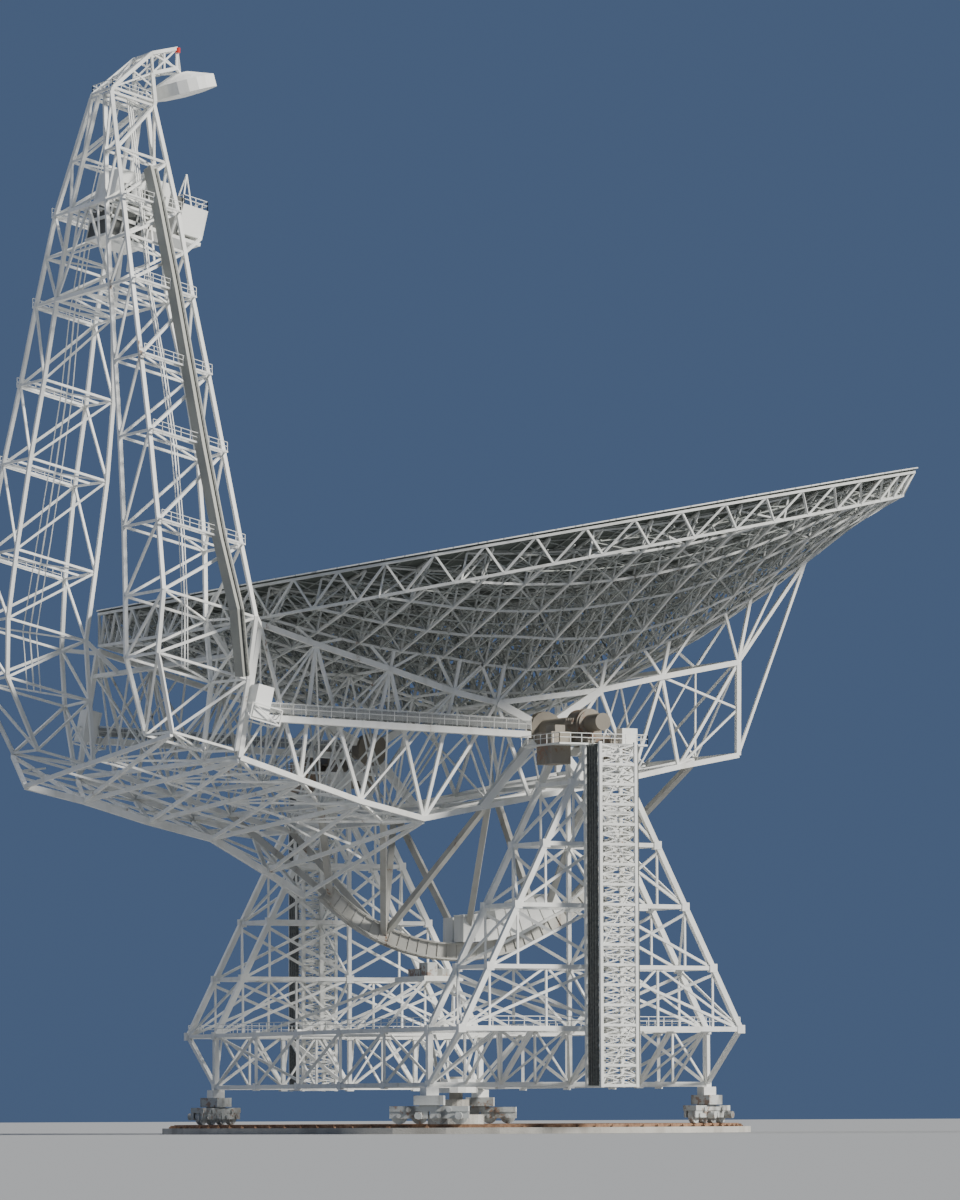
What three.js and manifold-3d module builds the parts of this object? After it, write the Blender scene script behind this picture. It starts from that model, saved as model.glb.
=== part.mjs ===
// A fully steerable radio telescope with an offset dish, as a 1:10 scale model.
// The azimuth axis is +Z, the elevation axis runs along Y, and the dish tips over towards +X.
// Sizes below are in metres of the full-size telescope, and M turns them into model millimetres.
import * as THREE from "three";
import { mergeVertices } from "three/addons/utils/BufferGeometryUtils.js";
import Module from "manifold-3d";

const wasm = await Module();
wasm.setup();
const { Manifold, Mesh: SolidMesh } = wasm;

// Driving dimensions
const M = 100;
const SMOOTHING = 0.15;
const GAP = 0.005;
const AXIS_HEIGHT = 47;
const ELEVATION_AT_REST = 76.8;
const TRACK_RADIUS = 33.2;
const FOUNDATION_TOP = 0.7;
const RAIL_TOP = 1.1;
const PINTLE_RADIUS = 0.8;
const BASE_HALF_LENGTH = 18.3;
const INNER_FRAME_Y = 27.8;
const OUTER_FRAME_Y = 35.5;
const SILL_HEIGHT = 5.6;
const DECK_HEIGHT = 11.9;
const CAP_HEIGHT = 43.6;
const TOWER_LEVELS = 5;
const DRIVE_SEAT = 18.2;
const DRIVE_X = -3.6;
const FOCAL_LENGTH = 60;
const VERTEX_ALONG = -3.4;
const VERTEX_UP = -0.1;
const DISH_CENTRE = 50.6;
const DISH_RADIUS = 46.8;
const AXIS_ALONG = 48.8;
const AXIS_BELOW = -4.45;
const WHEEL_RADIUS = 26.5;
const WHEEL_DEPTH = 2.1;
const BOX_SIDE = 22;
const BOX_CHORD_SIDE = 12;
const SHAFT_RADIUS = 1.0;
const JOURNAL_FACETS = 32;
const RIB_PLACES = [0, 11, 22, 36];
const RIM_BAYS = 20;

// Member sizes, across the flats of each bar
const LEG = 0.62;
const CHORD = 0.56;
const BEAM = 0.48;
const BRACE = 0.36;
const LACE = 0.27;
const RIB_CHORD = 0.42;
const POST = 0.44;

// Finishes
const paint = (color, roughness, metalness = 0) =>
  new THREE.MeshStandardMaterial({ color, roughness, metalness });
const WHITE_STEEL = paint(0xe9e9e2, 0.5);
const SHADED_STEEL = paint(0xdcdcd4, 0.55);
const PANEL_WHITE = paint(0xf0f0ea, 0.45);
const CONCRETE = paint(0xa9a59a, 0.9);
const RAIL_STEEL = paint(0x6d6a66, 0.4, 0.8);
const MACHINE_GREY = paint(0x8b8d88, 0.5, 0.3);

const telescope = new THREE.Group();
const ground = new THREE.Group();
const alidade = new THREE.Group();
const tipping = new THREE.Group();
tipping.position.z = AXIS_HEIGHT * M;
tipping.rotation.y = THREE.MathUtils.degToRad(90 - ELEVATION_AT_REST);
telescope.add(ground, alidade, tipping);

// Turns a closed three.js geometry into a solid that can be joined and cut
function solidFrom(geometry) {
  geometry.deleteAttribute("normal");
  geometry.deleteAttribute("uv");
  const merged = mergeVertices(geometry, 1e-4);
  return new Manifold(
    new SolidMesh({
      numProp: 3,
      vertProperties: new Float32Array(merged.attributes.position.array),
      triVerts: new Uint32Array(merged.index.array),
    }),
  );
}

// Adds a solid to a group as a named mesh, without offcuts left by cutting it clear of others
function addPiece(group, name, solid, material) {
  const [whole] = solid.decompose().sort((a, b) => b.volume() - a.volume());
  const { vertProperties, triVerts, numProp, numVert } = whole.simplify(SMOOTHING).getMesh();
  const positions = new Float32Array(numVert * 3);
  for (let i = 0; i < numVert; i++) {
    positions.set(vertProperties.subarray(i * numProp, i * numProp + 3), i * 3);
  }
  const geometry = new THREE.BufferGeometry();
  geometry.setAttribute("position", new THREE.BufferAttribute(positions, 3));
  geometry.setIndex(new THREE.BufferAttribute(triVerts, 1));
  geometry.computeVertexNormals();
  const mesh = new THREE.Mesh(geometry, material);
  mesh.name = name;
  group.add(mesh);
}

// A member with mitred bends through a row of points, described here and built later
const member = (points, size = BEAM, sides = 4) => ({ points, size, sides });
const brace = (p, q, size = BRACE) => member([p, q], size, 3);

// Builds a member from a cylinder whose rows of corners slide along to the mitre at each bend
function memberSolid({ points, size, sides }, margin = 0) {
  const path = points.map((p) => new THREE.Vector3(...p).multiplyScalar(M));
  const runs = path.slice(1).map((p, i) => p.clone().sub(path[i]).normalize());
  const last = path.length - 1;
  path[0].addScaledVector(runs[0], -margin * M);
  path[last].addScaledVector(runs[last - 1], margin * M);
  const mitres = path.map((_, i) => {
    const before = runs[Math.max(0, i - 1)];
    return before.clone().add(runs[Math.min(i, last - 1)]).normalize();
  });
  const bare = sides === 3 ? 0.6 * size : 0.5 * size * Math.SQRT2;
  const radius = (bare + margin / Math.cos(Math.PI / sides)) * M;
  const cylinder = new THREE.CylinderGeometry(radius, radius, last, sides, last, false, Math.PI / sides);
  const upright = Math.abs(runs[0].z) > 0.9;
  const reference = upright ? new THREE.Vector3(1, 0, 0) : new THREE.Vector3(0, 0, 1);
  const side = new THREE.Vector3().crossVectors(runs[0], reference).normalize();
  const out = new THREE.Vector3().crossVectors(side, runs[0]);
  const { position } = cylinder.attributes;
  for (let i = 0; i < position.count; i++) {
    const row = Math.round(position.getY(i) + last / 2);
    const point = path[0].clone();
    point.addScaledVector(side, position.getX(i)).addScaledVector(out, position.getZ(i));
    for (let j = 1; j <= row; j++) {
      const slide = path[j].clone().sub(point).dot(mitres[j]) / runs[j - 1].dot(mitres[j]);
      point.addScaledVector(runs[j - 1], slide);
    }
    position.setXYZ(i, point.x, point.y, point.z);
  }
  return solidFrom(cylinder);
}

// A block given by its middle and its full sizes
function block(centre, sizes) {
  const box = new THREE.BoxGeometry(...sizes.map((s) => s * M));
  box.translate(...centre.map((c) => c * M));
  return solidFrom(box);
}

// A drum along one axis, from its middle
function drum(centre, radius, length, axis = "y", sides = 24) {
  const cylinder = new THREE.CylinderGeometry(radius * M, radius * M, length * M, sides);
  if (axis === "x") cylinder.rotateZ(Math.PI / 2);
  if (axis === "z") cylinder.rotateX(Math.PI / 2);
  cylinder.translate(...centre.map((c) => c * M));
  return solidFrom(cylinder);
}

// A ring or part of a ring between two radii and two levels, about the Z axis
function ringSolid(inner, outer, low, high, sides, start = 0, sweep = 2 * Math.PI) {
  const shape = new THREE.Shape();
  shape.absarc(0, 0, outer * M, start, start + sweep, false);
  if (sweep < 2 * Math.PI) {
    shape.absarc(0, 0, inner * M, start + sweep, start, true);
  } else {
    shape.holes.push(new THREE.Path().absarc(0, 0, inner * M, 0, 2 * Math.PI, true));
  }
  const settings = { depth: (high - low) * M, bevelEnabled: false, curveSegments: sides };
  const ring = new THREE.ExtrudeGeometry(shape, settings);
  ring.translate(0, 0, low * M);
  return solidFrom(ring);
}

const join = (solids) => solids.reduce((a, b) => a.add(b));

// Lattices remember their members, so that a neighbour can be cut clear of them
const latticeMembers = new Map();

function addLattice(group, name, members, options = {}) {
  const { blocks = [], clearOf = [], clearOfAll = [], cuts = [], material = WHITE_STEEL } = options;
  latticeMembers.set(name, members);
  let solid = join([...members.map((m) => memberSolid(m)), ...blocks]);
  const chords = clearOf.flatMap((other) => latticeMembers.get(other)).filter((m) => m.sides === 4);
  const neighbours = [...chords, ...clearOfAll.flatMap((other) => latticeMembers.get(other))];
  for (const neighbour of neighbours) {
    const grown = memberSolid(neighbour, GAP);
    if (boxesMeet(solid.boundingBox(), grown.boundingBox())) {
      solid = solid.subtract(grown);
    }
  }
  for (const cut of cuts) {
    solid = solid.subtract(cut);
  }
  addPiece(group, name, solid, material);
}

const boxesMeet = (a, b) => a.min.every((low, i) => low <= b.max[i] && b.min[i] <= a.max[i]);

// The ring track and the pintle that the whole telescope turns about
function buildTrack() {
  const sides = 18;
  const foundation = ringSolid(TRACK_RADIUS - 1.9, TRACK_RADIUS + 1.9, 0, FOUNDATION_TOP, sides);
  const rail = ringSolid(TRACK_RADIUS - 0.45, TRACK_RADIUS + 0.45, FOUNDATION_TOP + GAP, RAIL_TOP, sides);
  addPiece(ground, "track_foundation", foundation, CONCRETE);
  addPiece(ground, "track_rail", rail, RAIL_STEEL);
  const pintle = join([
    drum([0, 0, 1.1], 3.4, 2.2, "z", 16),
    drum([0, 0, 3.0], 1.6, 2.0, "z", 16),
    drum([0, 0, 5.0], PINTLE_RADIUS, 3.4, "z", 24),
  ]);
  addPiece(ground, "pintle_foundation", pintle, CONCRETE);
}

// Corner trucks: four wheels in a bogie frame that carries a corner post
const WHEEL_CENTRE = RAIL_TOP + GAP + 0.95;
const TRUCK_TOP = WHEEL_CENTRE + 2.3;
function buildTrucks() {
  const wheelSpacing = 2.3;
  const wheels = 4;
  for (const [xName, xSide] of [["front", -1], ["rear", 1]]) {
    for (const [yName, ySide] of [["near", -1], ["far", 1]]) {
      const x = xSide * BASE_HALF_LENGTH;
      const y = ySide * INNER_FRAME_Y;
      const angle = THREE.MathUtils.radToDeg(Math.atan2(y, x));
      const solids = [
        block([0, 0, WHEEL_CENTRE + 0.75], [1.7, 9.0, 0.9]),
        block([0, 0, WHEEL_CENTRE + 1.7], [2.4, 3.4, 1.2]),
      ];
      for (let i = 0; i < wheels; i++) {
        solids.push(drum([0, (i - 1.5) * wheelSpacing, WHEEL_CENTRE], 0.95, 0.6, "x", 12));
      }
      const truck = join(solids).rotate([0, 0, angle]).translate([x * M, y * M, 0]);
      addPiece(alidade, `truck_${xName}_${yName}`, truck, MACHINE_GREY);
    }
  }
}

// Half the length of a tower frame at a height: its legs meet on the elevation axis
const legX = (z) => (BASE_HALF_LENGTH * (AXIS_HEIGHT - z)) / (AXIS_HEIGHT - DECK_HEIGHT);
const levelHeight = (k) => DECK_HEIGHT + (k * (AXIS_HEIGHT - DECK_HEIGHT)) / TOWER_LEVELS;
const CAP_TOP = CAP_HEIGHT + 0.9;

// Braces end a little way along a chord from its node, so that they don't crowd together
const STAGGER = 0.09;

// One upright A-shaped frame of a tower, with ties that reach towards its partner frame
function towerFrame(y, tieY) {
  const top = TOWER_LEVELS - 1;
  const members = [member([[0, y, DECK_HEIGHT], [0, y, CAP_HEIGHT]], POST)];
  const corner = (s, k) => [s * legX(levelHeight(k)), y, levelHeight(k)];
  for (const s of [-1, 1]) {
    const foot = [s * BASE_HALF_LENGTH, y, DECK_HEIGHT];
    members.push(member([foot, [s * legX(CAP_HEIGHT), y, CAP_HEIGHT]], LEG));
    for (let k = 1; k <= top; k++) {
      members.push(brace(corner(s, k - STAGGER), [0, y, levelHeight(k - 1 + STAGGER)]));
    }
    for (let k = 0; tieY !== undefined && k <= top; k++) {
      const [x, , z] = corner(s, k);
      members.push(member([[x, y, z], [x, tieY, z]], POST));
    }
  }
  for (let k = 0; k <= top; k++) {
    members.push(member([corner(-1, k), corner(1, k)], k ? BEAM : CHORD));
  }
  return members;
}

function buildTowers() {
  const capBlock = (y) => block([0, y, CAP_HEIGHT + 0.4], [5.2, 0.6, 1.0]);
  for (const [side, s] of [["near", -1], ["far", 1]]) {
    const inner = s * INNER_FRAME_Y;
    const outer = s * OUTER_FRAME_Y;
    addLattice(alidade, `${side}_tower_inner_frame`, towerFrame(inner), { blocks: [capBlock(inner)] });
    addLattice(alidade, `${side}_tower_outer_frame`, towerFrame(outer, inner), {
      blocks: [capBlock(outer)],
      clearOf: [`${side}_tower_inner_frame`],
    });
  }
}

// Rows of nodes along the long base trusses
const BASE_BAYS = 5;
const baseRow = (i) => -INNER_FRAME_Y + (2 * INNER_FRAME_Y * i) / BASE_BAYS;

// The long base trusses that join the two towers, in front and behind
function buildLongBases() {
  for (const [name, s] of [["front", -1], ["rear", 1]]) {
    const x = s * BASE_HALF_LENGTH;
    const members = [
      member([[x, -INNER_FRAME_Y, DECK_HEIGHT], [x, INNER_FRAME_Y, DECK_HEIGHT]], BEAM),
      member([[x, -INNER_FRAME_Y, SILL_HEIGHT], [x, INNER_FRAME_Y, SILL_HEIGHT]], BEAM),
    ];
    for (let i = 0; i < BASE_BAYS; i++) {
      members.push(brace([x, baseRow(i + 1), SILL_HEIGHT], [x, baseRow(i), DECK_HEIGHT]));
      if (i) {
        members.push(brace([x, baseRow(i), SILL_HEIGHT], [x, baseRow(i), DECK_HEIGHT]));
      }
    }
    addLattice(alidade, `base_${name}_truss`, members, {
      clearOf: ["near_tower_inner_frame", "far_tower_inner_frame", "base_near_truss", "base_far_truss"],
    });
  }
}

// The base under each tower: corner posts, sill and struts out to the deck's edge
function buildSideBases() {
  const bays = 4;
  const step = (2 * BASE_HALF_LENGTH) / bays;
  for (const [side, s] of [["near", -1], ["far", 1]]) {
    const y = s * INNER_FRAME_Y;
    const outY = s * OUTER_FRAME_Y;
    const sill = (x) => [x, y, SILL_HEIGHT];
    const members = [member([sill(-BASE_HALF_LENGTH), sill(BASE_HALF_LENGTH)], CHORD)];
    for (let i = 0; i <= bays; i++) {
      const x = -BASE_HALF_LENGTH + i * step;
      const isCorner = i % bays === 0;
      const low = SILL_HEIGHT - (isCorner ? 0.3 : 0);
      members.push(member([[x, y, low], [x, y, DECK_HEIGHT]], isCorner ? LEG : POST));
      members.push(member([sill(x), [x, outY, DECK_HEIGHT]], isCorner ? BEAM : POST));
      if (i < bays) {
        const [from, to] = i % 2 ? [x + step, x] : [x, x + step];
        members.push(brace(sill(from), [to, y, DECK_HEIGHT]));
      }
    }
    const footTop = SILL_HEIGHT - 0.3;
    const footHeight = footTop - TRUCK_TOP - GAP;
    const feet = [-1, 1].map((end) =>
      block([end * BASE_HALF_LENGTH, y, footTop - footHeight / 2], [1.6, 1.6, footHeight]));
    addLattice(alidade, `base_${side}_truss`, members, {
      blocks: feet,
      clearOf: [`${side}_tower_inner_frame`, `${side}_tower_outer_frame`],
    });
  }
}

// Cross girders of the base, the hub round the pintle and the raised seat of the elevation drive
function buildDeckFrame() {
  const members = [];
  const half = BASE_HALF_LENGTH;
  for (let i = 1; i < BASE_BAYS; i++) {
    const y = baseRow(i);
    const side = Math.sign(y);
    members.push(member([[-half, y, DECK_HEIGHT], [half, y, DECK_HEIGHT]], BEAM));
    for (const end of [-1, 1]) {
      members.push(brace([end * half, y, DECK_HEIGHT], [DRIVE_X + end * 2, side * 3.2, DRIVE_SEAT]));
      if (i === 1 || i === BASE_BAYS - 1) {
        members.push(brace([end * 1.8, side * 1.8, SILL_HEIGHT], [end * half, y, SILL_HEIGHT]));
      }
    }
  }
  for (const end of [-1, 1]) {
    for (const side of [-1, 1]) {
      members.push(brace([end * 1.6, side * 1.6, SILL_HEIGHT], [end * 6, side * baseRow(3), DECK_HEIGHT]));
    }
  }
  const seat = block([DRIVE_X, 0, DRIVE_SEAT + 0.1], [5.2, 7.6, 0.6]);
  const hub = drum([0, 0, SILL_HEIGHT], 2.6, 1.6, "z", 16);
  const bore = drum([0, 0, SILL_HEIGHT], (PINTLE_RADIUS + 0.0025) / Math.cos(Math.PI / 24), 4, "z", 24);
  addLattice(alidade, "base_deck_frame", members, {
    blocks: [seat, hub],
    clearOf: ["base_front_truss", "base_rear_truss"],
    cuts: [bore],
  });
}

// The lift shafts that climb the outside of each tower
function buildLiftShafts() {
  const half = 2.3;
  const depth = 3.4;
  const bays = 5;
  for (const [side, s] of [["near", -1], ["far", 1]]) {
    const back = s * (OUTER_FRAME_Y + LEG / 2 + BRACE / 2 + GAP);
    const front = back + s * depth;
    const low = SILL_HEIGHT - 0.4;
    const high = CAP_TOP;
    const level = (i) => low + 0.3 + ((high - low - 0.6) * i) / bays;
    const corners = [[-half, front], [half, front], [half, back], [-half, back]];
    const members = corners.map(([x, y]) => member([[x, y, low], [x, y, high]], BRACE));
    for (let i = 0; i <= bays; i++) {
      corners.forEach(([x, y], k) => {
        const [nextX, nextY] = corners[(k + 1) % 4];
        members.push(brace([x, y, level(i)], [nextX, nextY, level(i)], LACE * 0.8));
      });
      if (i < bays) {
        const swing = i % 2 ? half : -half;
        members.push(brace([swing, front, level(i)], [-swing, front, level(i + 1)], LACE * 0.8));
      }
    }
    addLattice(alidade, `${side}_lift_shaft`, members);
  }
}

// Pillow blocks on the tower tops, bored for the shaft's journals
function buildBearings() {
  const length = 2.6;
  const facets = JOURNAL_FACETS;
  const foot = CAP_TOP + GAP;
  for (const [side, s] of [["near", -1], ["far", 1]]) {
    const y = (s * (INNER_FRAME_Y + OUTER_FRAME_Y)) / 2;
    const span = OUTER_FRAME_Y - INNER_FRAME_Y;
    const solids = [-1.5, 1.5].map((x) => block([x, y, foot + 0.3], [0.9, span + 1.0, 0.6]));
    solids.push(block([0, y, foot + 0.55], [4.4, length + 1.2, 0.5]));
    solids.push(block([0, y, (foot + AXIS_HEIGHT) / 2 + 0.3], [3.2, length, AXIS_HEIGHT - foot - 0.6]));
    solids.push(drum([0, y, AXIS_HEIGHT], 1.7, length, "y", facets));
    const boreRadius = (SHAFT_RADIUS + 0.003) / Math.cos(Math.PI / facets);
    const bore = drum([0, y, AXIS_HEIGHT], boreRadius, 6, "y", facets);
    addPiece(alidade, `${side}_bearing`, join(solids).subtract(bore), MACHINE_GREY);
  }
}

// The pinion drive that turns the elevation wheel
function buildDrive() {
  const low = DRIVE_SEAT + 0.4 + GAP;
  const solids = [block([DRIVE_X, 0, low + 0.45], [4.0, 3.0, 0.9])];
  for (const s of [-1, 1]) {
    solids.push(block([DRIVE_X + s * 1.2, s * 2.1, low + 0.8], [1.3, 2.2, 1.6]));
  }
  addPiece(alidade, "elevation_drive", join(solids), MACHINE_GREY);
}

// Places in the tipping frame: along is towards the high rim, across is towards the near side,
// and up is along the beam.
const place = (at, across, up) => [at - AXIS_ALONG, -across, up - AXIS_BELOW];
const surfaceUp = (at, across) => ((at - VERTEX_ALONG) ** 2 + across ** 2) / (4 * FOCAL_LENGTH) + VERTEX_UP;

// Reads a value off a row of [position, value] pairs
function along(row, position) {
  const i = Math.max(1, row.findIndex(([at]) => at >= position));
  const [low, lowValue] = row[i - 1];
  const [high, highValue] = row[i];
  return lowValue + ((highValue - lowValue) * (position - low)) / (high - low);
}

// The backing frame is deepest under the middle of the dish and meets the rim truss at its edge
const RIM_TOP = DISH_RADIUS - 0.3;
const RIM_FOOT = DISH_RADIUS - 1.2;
const rimDepth = (at) => 3.5 - (0.75 * (at - DISH_CENTRE)) / DISH_RADIUS;
const keelSag = (at, across) => 4.2 * Math.max(0, 1 - ((at - 60) / 30) ** 2 - (across / 34) ** 2) ** 0.8;
function keelDepth(at, across) {
  const r = Math.hypot(at - DISH_CENTRE, across) / RIM_FOOT;
  return rimDepth(at) + 7 * Math.max(0, 1 - r * r) ** 1.4 + keelSag(at, across);
}
const skinPlace = (at, across) => place(at, across, surfaceUp(at, across) - 0.95);
const panelPlace = (at, across) => place(at, across, surfaceUp(at, across));
const keelPlace = (at, across) => place(at, across, surfaceUp(at, across) - keelDepth(at, across));

// The dish as a solid between two heights above its true surface
function dishSolid(low, high) {
  const steps = 5;
  const facets = 36;
  const radii = Array.from({ length: steps + 1 }, (_, i) => (DISH_RADIUS * i) / steps);
  const curve = (above) =>
    radii.map((r) => new THREE.Vector2(r, (r * r) / (4 * FOCAL_LENGTH) + above).multiplyScalar(M));
  const under = curve(low);
  const upper = curve(high).reverse();
  const lathe = new THREE.LatheGeometry([...under, ...upper], facets);
  lathe.rotateX(Math.PI / 2);
  const tilt = (DISH_CENTRE - VERTEX_ALONG) / (2 * FOCAL_LENGTH);
  const lift = surfaceUp(DISH_CENTRE, 0) - AXIS_BELOW;
  const shear = new THREE.Matrix4().set(
    1, 0, 0, (DISH_CENTRE - AXIS_ALONG) * M,
    0, 1, 0, 0,
    tilt, 0, 1, lift * M,
    0, 0, 0, 1,
  );
  return solidFrom(lathe).transform(shear.toArray());
}

// The reflecting skin, one shell cut into four quarters
const SKIN = 0.22;
function buildReflector() {
  const dish = dishSolid(-SKIN, 0);
  const size = 120;
  for (const [xName, sx] of [["low", -1], ["high", 1]]) {
    for (const [yName, sy] of [["near", -1], ["far", 1]]) {
      const x = DISH_CENTRE - AXIS_ALONG + (sx * (size + GAP)) / 2;
      const quarter = dish.intersect(block([x, (sy * (size + GAP)) / 2, 0], [size, size, 2 * size]));
      addPiece(tipping, `reflector_${xName}_${yName}`, quarter, PANEL_WHITE);
    }
  }
}

// The nodes of one rib of the backing frame, from its low end to its high end
function ribRow(across) {
  const reach = Math.sqrt(RIM_FOOT ** 2 - across ** 2);
  const bays = Math.max(2, Math.round((2 * reach) / 13.5));
  return Array.from({ length: bays + 1 }, (_, i) => DISH_CENTRE - reach + (2 * reach * i) / bays);
}

// A place on the lower chord of a rib, between two of its nodes
function ribChordPlace(at, across) {
  const row = ribRow(across);
  const i = row.findIndex((end) => end >= at);
  const share = (at - row[i - 1]) / (row[i] - row[i - 1]);
  const from = keelPlace(row[i - 1], across);
  const to = keelPlace(row[i], across);
  return from.map((v, k) => v + share * (to[k] - v));
}

// One rib, with ties that reach to the next rib outwards
function ribMembers(across, outwards) {
  const row = ribRow(across);
  const shift = 0.5;
  const members = [
    member(row.map((at) => skinPlace(at, across)), RIB_CHORD),
    member(row.map((at) => keelPlace(at, across)), RIB_CHORD),
  ];
  for (let k = 1; k < row.length; k++) {
    if (k < row.length - 1) {
      members.push(brace(keelPlace(row[k], across), panelPlace(row[k], across), LACE));
    }
    members.push(brace(keelPlace(row[k - 1] + shift, across), skinPlace(row[k] - shift, across), LACE));
  }
  for (const next of outwards) {
    const nextRow = ribRow(next);
    for (const at of row.slice(1, -1)) {
      const nearest = nextRow.reduce((x, y) => (Math.abs(y - at) < Math.abs(x - at) ? y : x));
      members.push(brace(keelPlace(at - shift, across), keelPlace(nearest, next), LACE));
    }
  }
  return members;
}

function buildBackingFrame() {
  const overSkin = dishSolid(-SKIN - GAP, 3);
  for (let i = RIB_PLACES.length - 1; i >= 0; i--) {
    const sides = i ? [["near", 1], ["far", -1]] : [["middle", 1]];
    for (const [side, s] of sides) {
      const next = RIB_PLACES[i + 1];
      const outwards = next === undefined ? [] : i ? [s * next] : [next, -next];
      const name = i ? `rib_${side}_${i}` : "rib_middle";
      addLattice(tipping, name, ribMembers(s * RIB_PLACES[i], outwards), {
        clearOf: outwards.map((y) => `rib_${y > 0 ? "near" : "far"}_${i + 1}`),
        clearOfAll: ["rim_truss_low", "rim_truss_high"],
        cuts: [overSkin],
        material: SHADED_STEEL,
      });
    }
  }
}

// The truss round the rim, in a low half by the feed arm and a high half
function buildRimTruss() {
  const rimPlace = (i, radius, depth) => {
    const angle = (2 * Math.PI * i) / RIM_BAYS;
    const at = DISH_CENTRE + radius * Math.cos(angle);
    const across = radius * Math.sin(angle);
    return place(at, across, surfaceUp(at, across) - depth(at));
  };
  const topNode = (i) => rimPlace(i, RIM_TOP, () => 1.25);
  const footNode = (i) => rimPlace(i, RIM_FOOT, rimDepth);
  const quarter = RIM_BAYS / 4;
  const seam = 0.01;
  const halves = [["rim_truss_high", -quarter, quarter], ["rim_truss_low", quarter, 3 * quarter]];
  for (const [name, from, to] of halves) {
    const spots = Array.from({ length: to - from + 1 }, (_, k) => from + k);
    spots[0] += seam;
    spots[spots.length - 1] -= seam;
    const members = [member(spots.map(topNode), RIB_CHORD), member(spots.map(footNode), RIB_CHORD)];
    for (let k = 1; k < spots.length; k++) {
      const [low, high] = k % 2 ? [k - 1, k] : [k, k - 1];
      members.push(brace(footNode(spots[low]), topNode(spots[high]), LACE));
    }
    addLattice(tipping, name, members, { material: SHADED_STEEL });
  }
}

// Chords of the box that carries the dish, as [along, up] pairs
const BOX_TOP = [
  [10.4, -2.2], [17.8, -2.6], [27.7, -2.9], [36.3, -3.3], [42.1, -3.1],
  [55.1, 1.9], [62.9, 5.6], [72.6, 10.0],
];
const BOX_BOTTOM = [
  [11.4, -17.7], [19.4, -18.2], [27.4, -18.7], [35.8, -18.6],
  [48.8, -12.8], [61.6, -7.0], [67.4, -4.2], [75.0, -0.8],
];

// Posts and a rear brace that carry the dish: a node of the top chord, and where on the rib it ends
const BOX_POSTS = [[2, 27.7], [3, 36.3], [4, 42.1], [5, 55.1], [6, 62.9], [7, 72.6], [7, 79]];

// The two side trusses of the box
function buildBoxSides() {
  for (const [side, s] of [["near", 1], ["far", -1]]) {
    const across = s * BOX_SIDE;
    const top = BOX_TOP.map(([at, up]) => place(at, across, up));
    const bottom = BOX_BOTTOM.map(([at, up]) => place(at, across, up));
    const ends = [[top[0], bottom[0]], [top.at(-1), bottom.at(-1)]];
    const members = [member(top, LEG), member(bottom, LEG), ...ends.map((pair) => member(pair, CHORD))];
    const webs = [
      [0, 1], [1, 1], [1, 2], [2, 2], [2, 3], [3, 3], [4, 3],
      [4, 4], [5, 4], [5, 5], [6, 5], [6, 6], [7, 6],
    ];
    for (const [t, b] of webs) {
      members.push(member([top[t], bottom[b]], BRACE));
    }
    for (const [t, at] of BOX_POSTS) {
      members.push(member([top[t], ribChordPlace(at, across)], BRACE));
    }
    addLattice(tipping, `box_${side}_truss`, members, { clearOf: [`rib_${side}_2`] });
  }
}

// The tie over the low end of the box passes under the ribs
const BOX_END_TIE = [10.62, -5.4];

// Moves the end of a brace in from a side truss
const inset = ([x, y, z]) => [x, y - Math.sign(y) * 0.3, z];

// Bracing across the bottom of the box, and its two end frames
function buildBoxCrossing() {
  const reach = BOX_SIDE - LEG / 2 - GAP;
  const sides = [-reach, -BOX_CHORD_SIDE, 0, BOX_CHORD_SIDE, reach];
  const used = [0, 1, 2, 3, 4, 5, 7];
  const rows = used.map((i) => sides.map((across) => place(BOX_BOTTOM[i][0], across, BOX_BOTTOM[i][1])));
  const members = rows.map((row) => member([row[0], row[4]], BEAM));
  for (const column of [1, 3]) {
    members.push(member(rows.map((row) => row[column]), CHORD));
  }
  for (let i = 1; i < rows.length; i++) {
    members.push(brace(inset(rows[i - 1][0]), rows[i][1]), brace(inset(rows[i - 1][4]), rows[i][3]));
  }
  for (const [end, row] of [[BOX_END_TIE, rows[0]], [BOX_TOP.at(-1), rows.at(-1)]]) {
    const top = sides.map((across) => place(end[0], across, end[1]));
    members.push(member([top[0], top[4]], BEAM));
    members.push(brace(inset(top[0]), row[2]), brace(inset(top[4]), row[2]));
  }
  addLattice(tipping, "box_cross_bracing", members);
}

// Stub shafts in the bearings, each with a hub that reaches into its side truss
function buildElevationShafts() {
  for (const [side, s] of [["near", 1], ["far", -1]]) {
    const across = s * BOX_SIDE;
    const hub = place(AXIS_ALONG, across, AXIS_BELOW);
    const targets = [BOX_TOP[4], BOX_TOP[5], [42.8, -15.5], [56.0, -9.5]];
    const arms = targets.map(([at, up]) => member([hub, place(at, across, up)], 0.9));
    const end = OUTER_FRAME_Y + 0.6;
    const blocks = [
      drum([0, (-s * (end + BOX_SIDE)) / 2, 0], SHAFT_RADIUS, end - BOX_SIDE, "y", JOURNAL_FACETS),
      drum(hub, 2.0, 1.3, "y", 16),
    ];
    addLattice(tipping, `${side}_elevation_shaft`, arms, { blocks, clearOf: [`box_${side}_truss`] });
  }
}

// An arc piece of the elevation wheel, in the plane across the elevation axis
function wheelArc(inner, outer, width, from, to, segments) {
  const start = THREE.MathUtils.degToRad(from - 90);
  const sweep = THREE.MathUtils.degToRad(to - from);
  const arc = ringSolid(inner, outer, -width / 2, width / 2, segments, start, sweep);
  return arc.rotate([90, 0, 0]);
}

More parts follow.
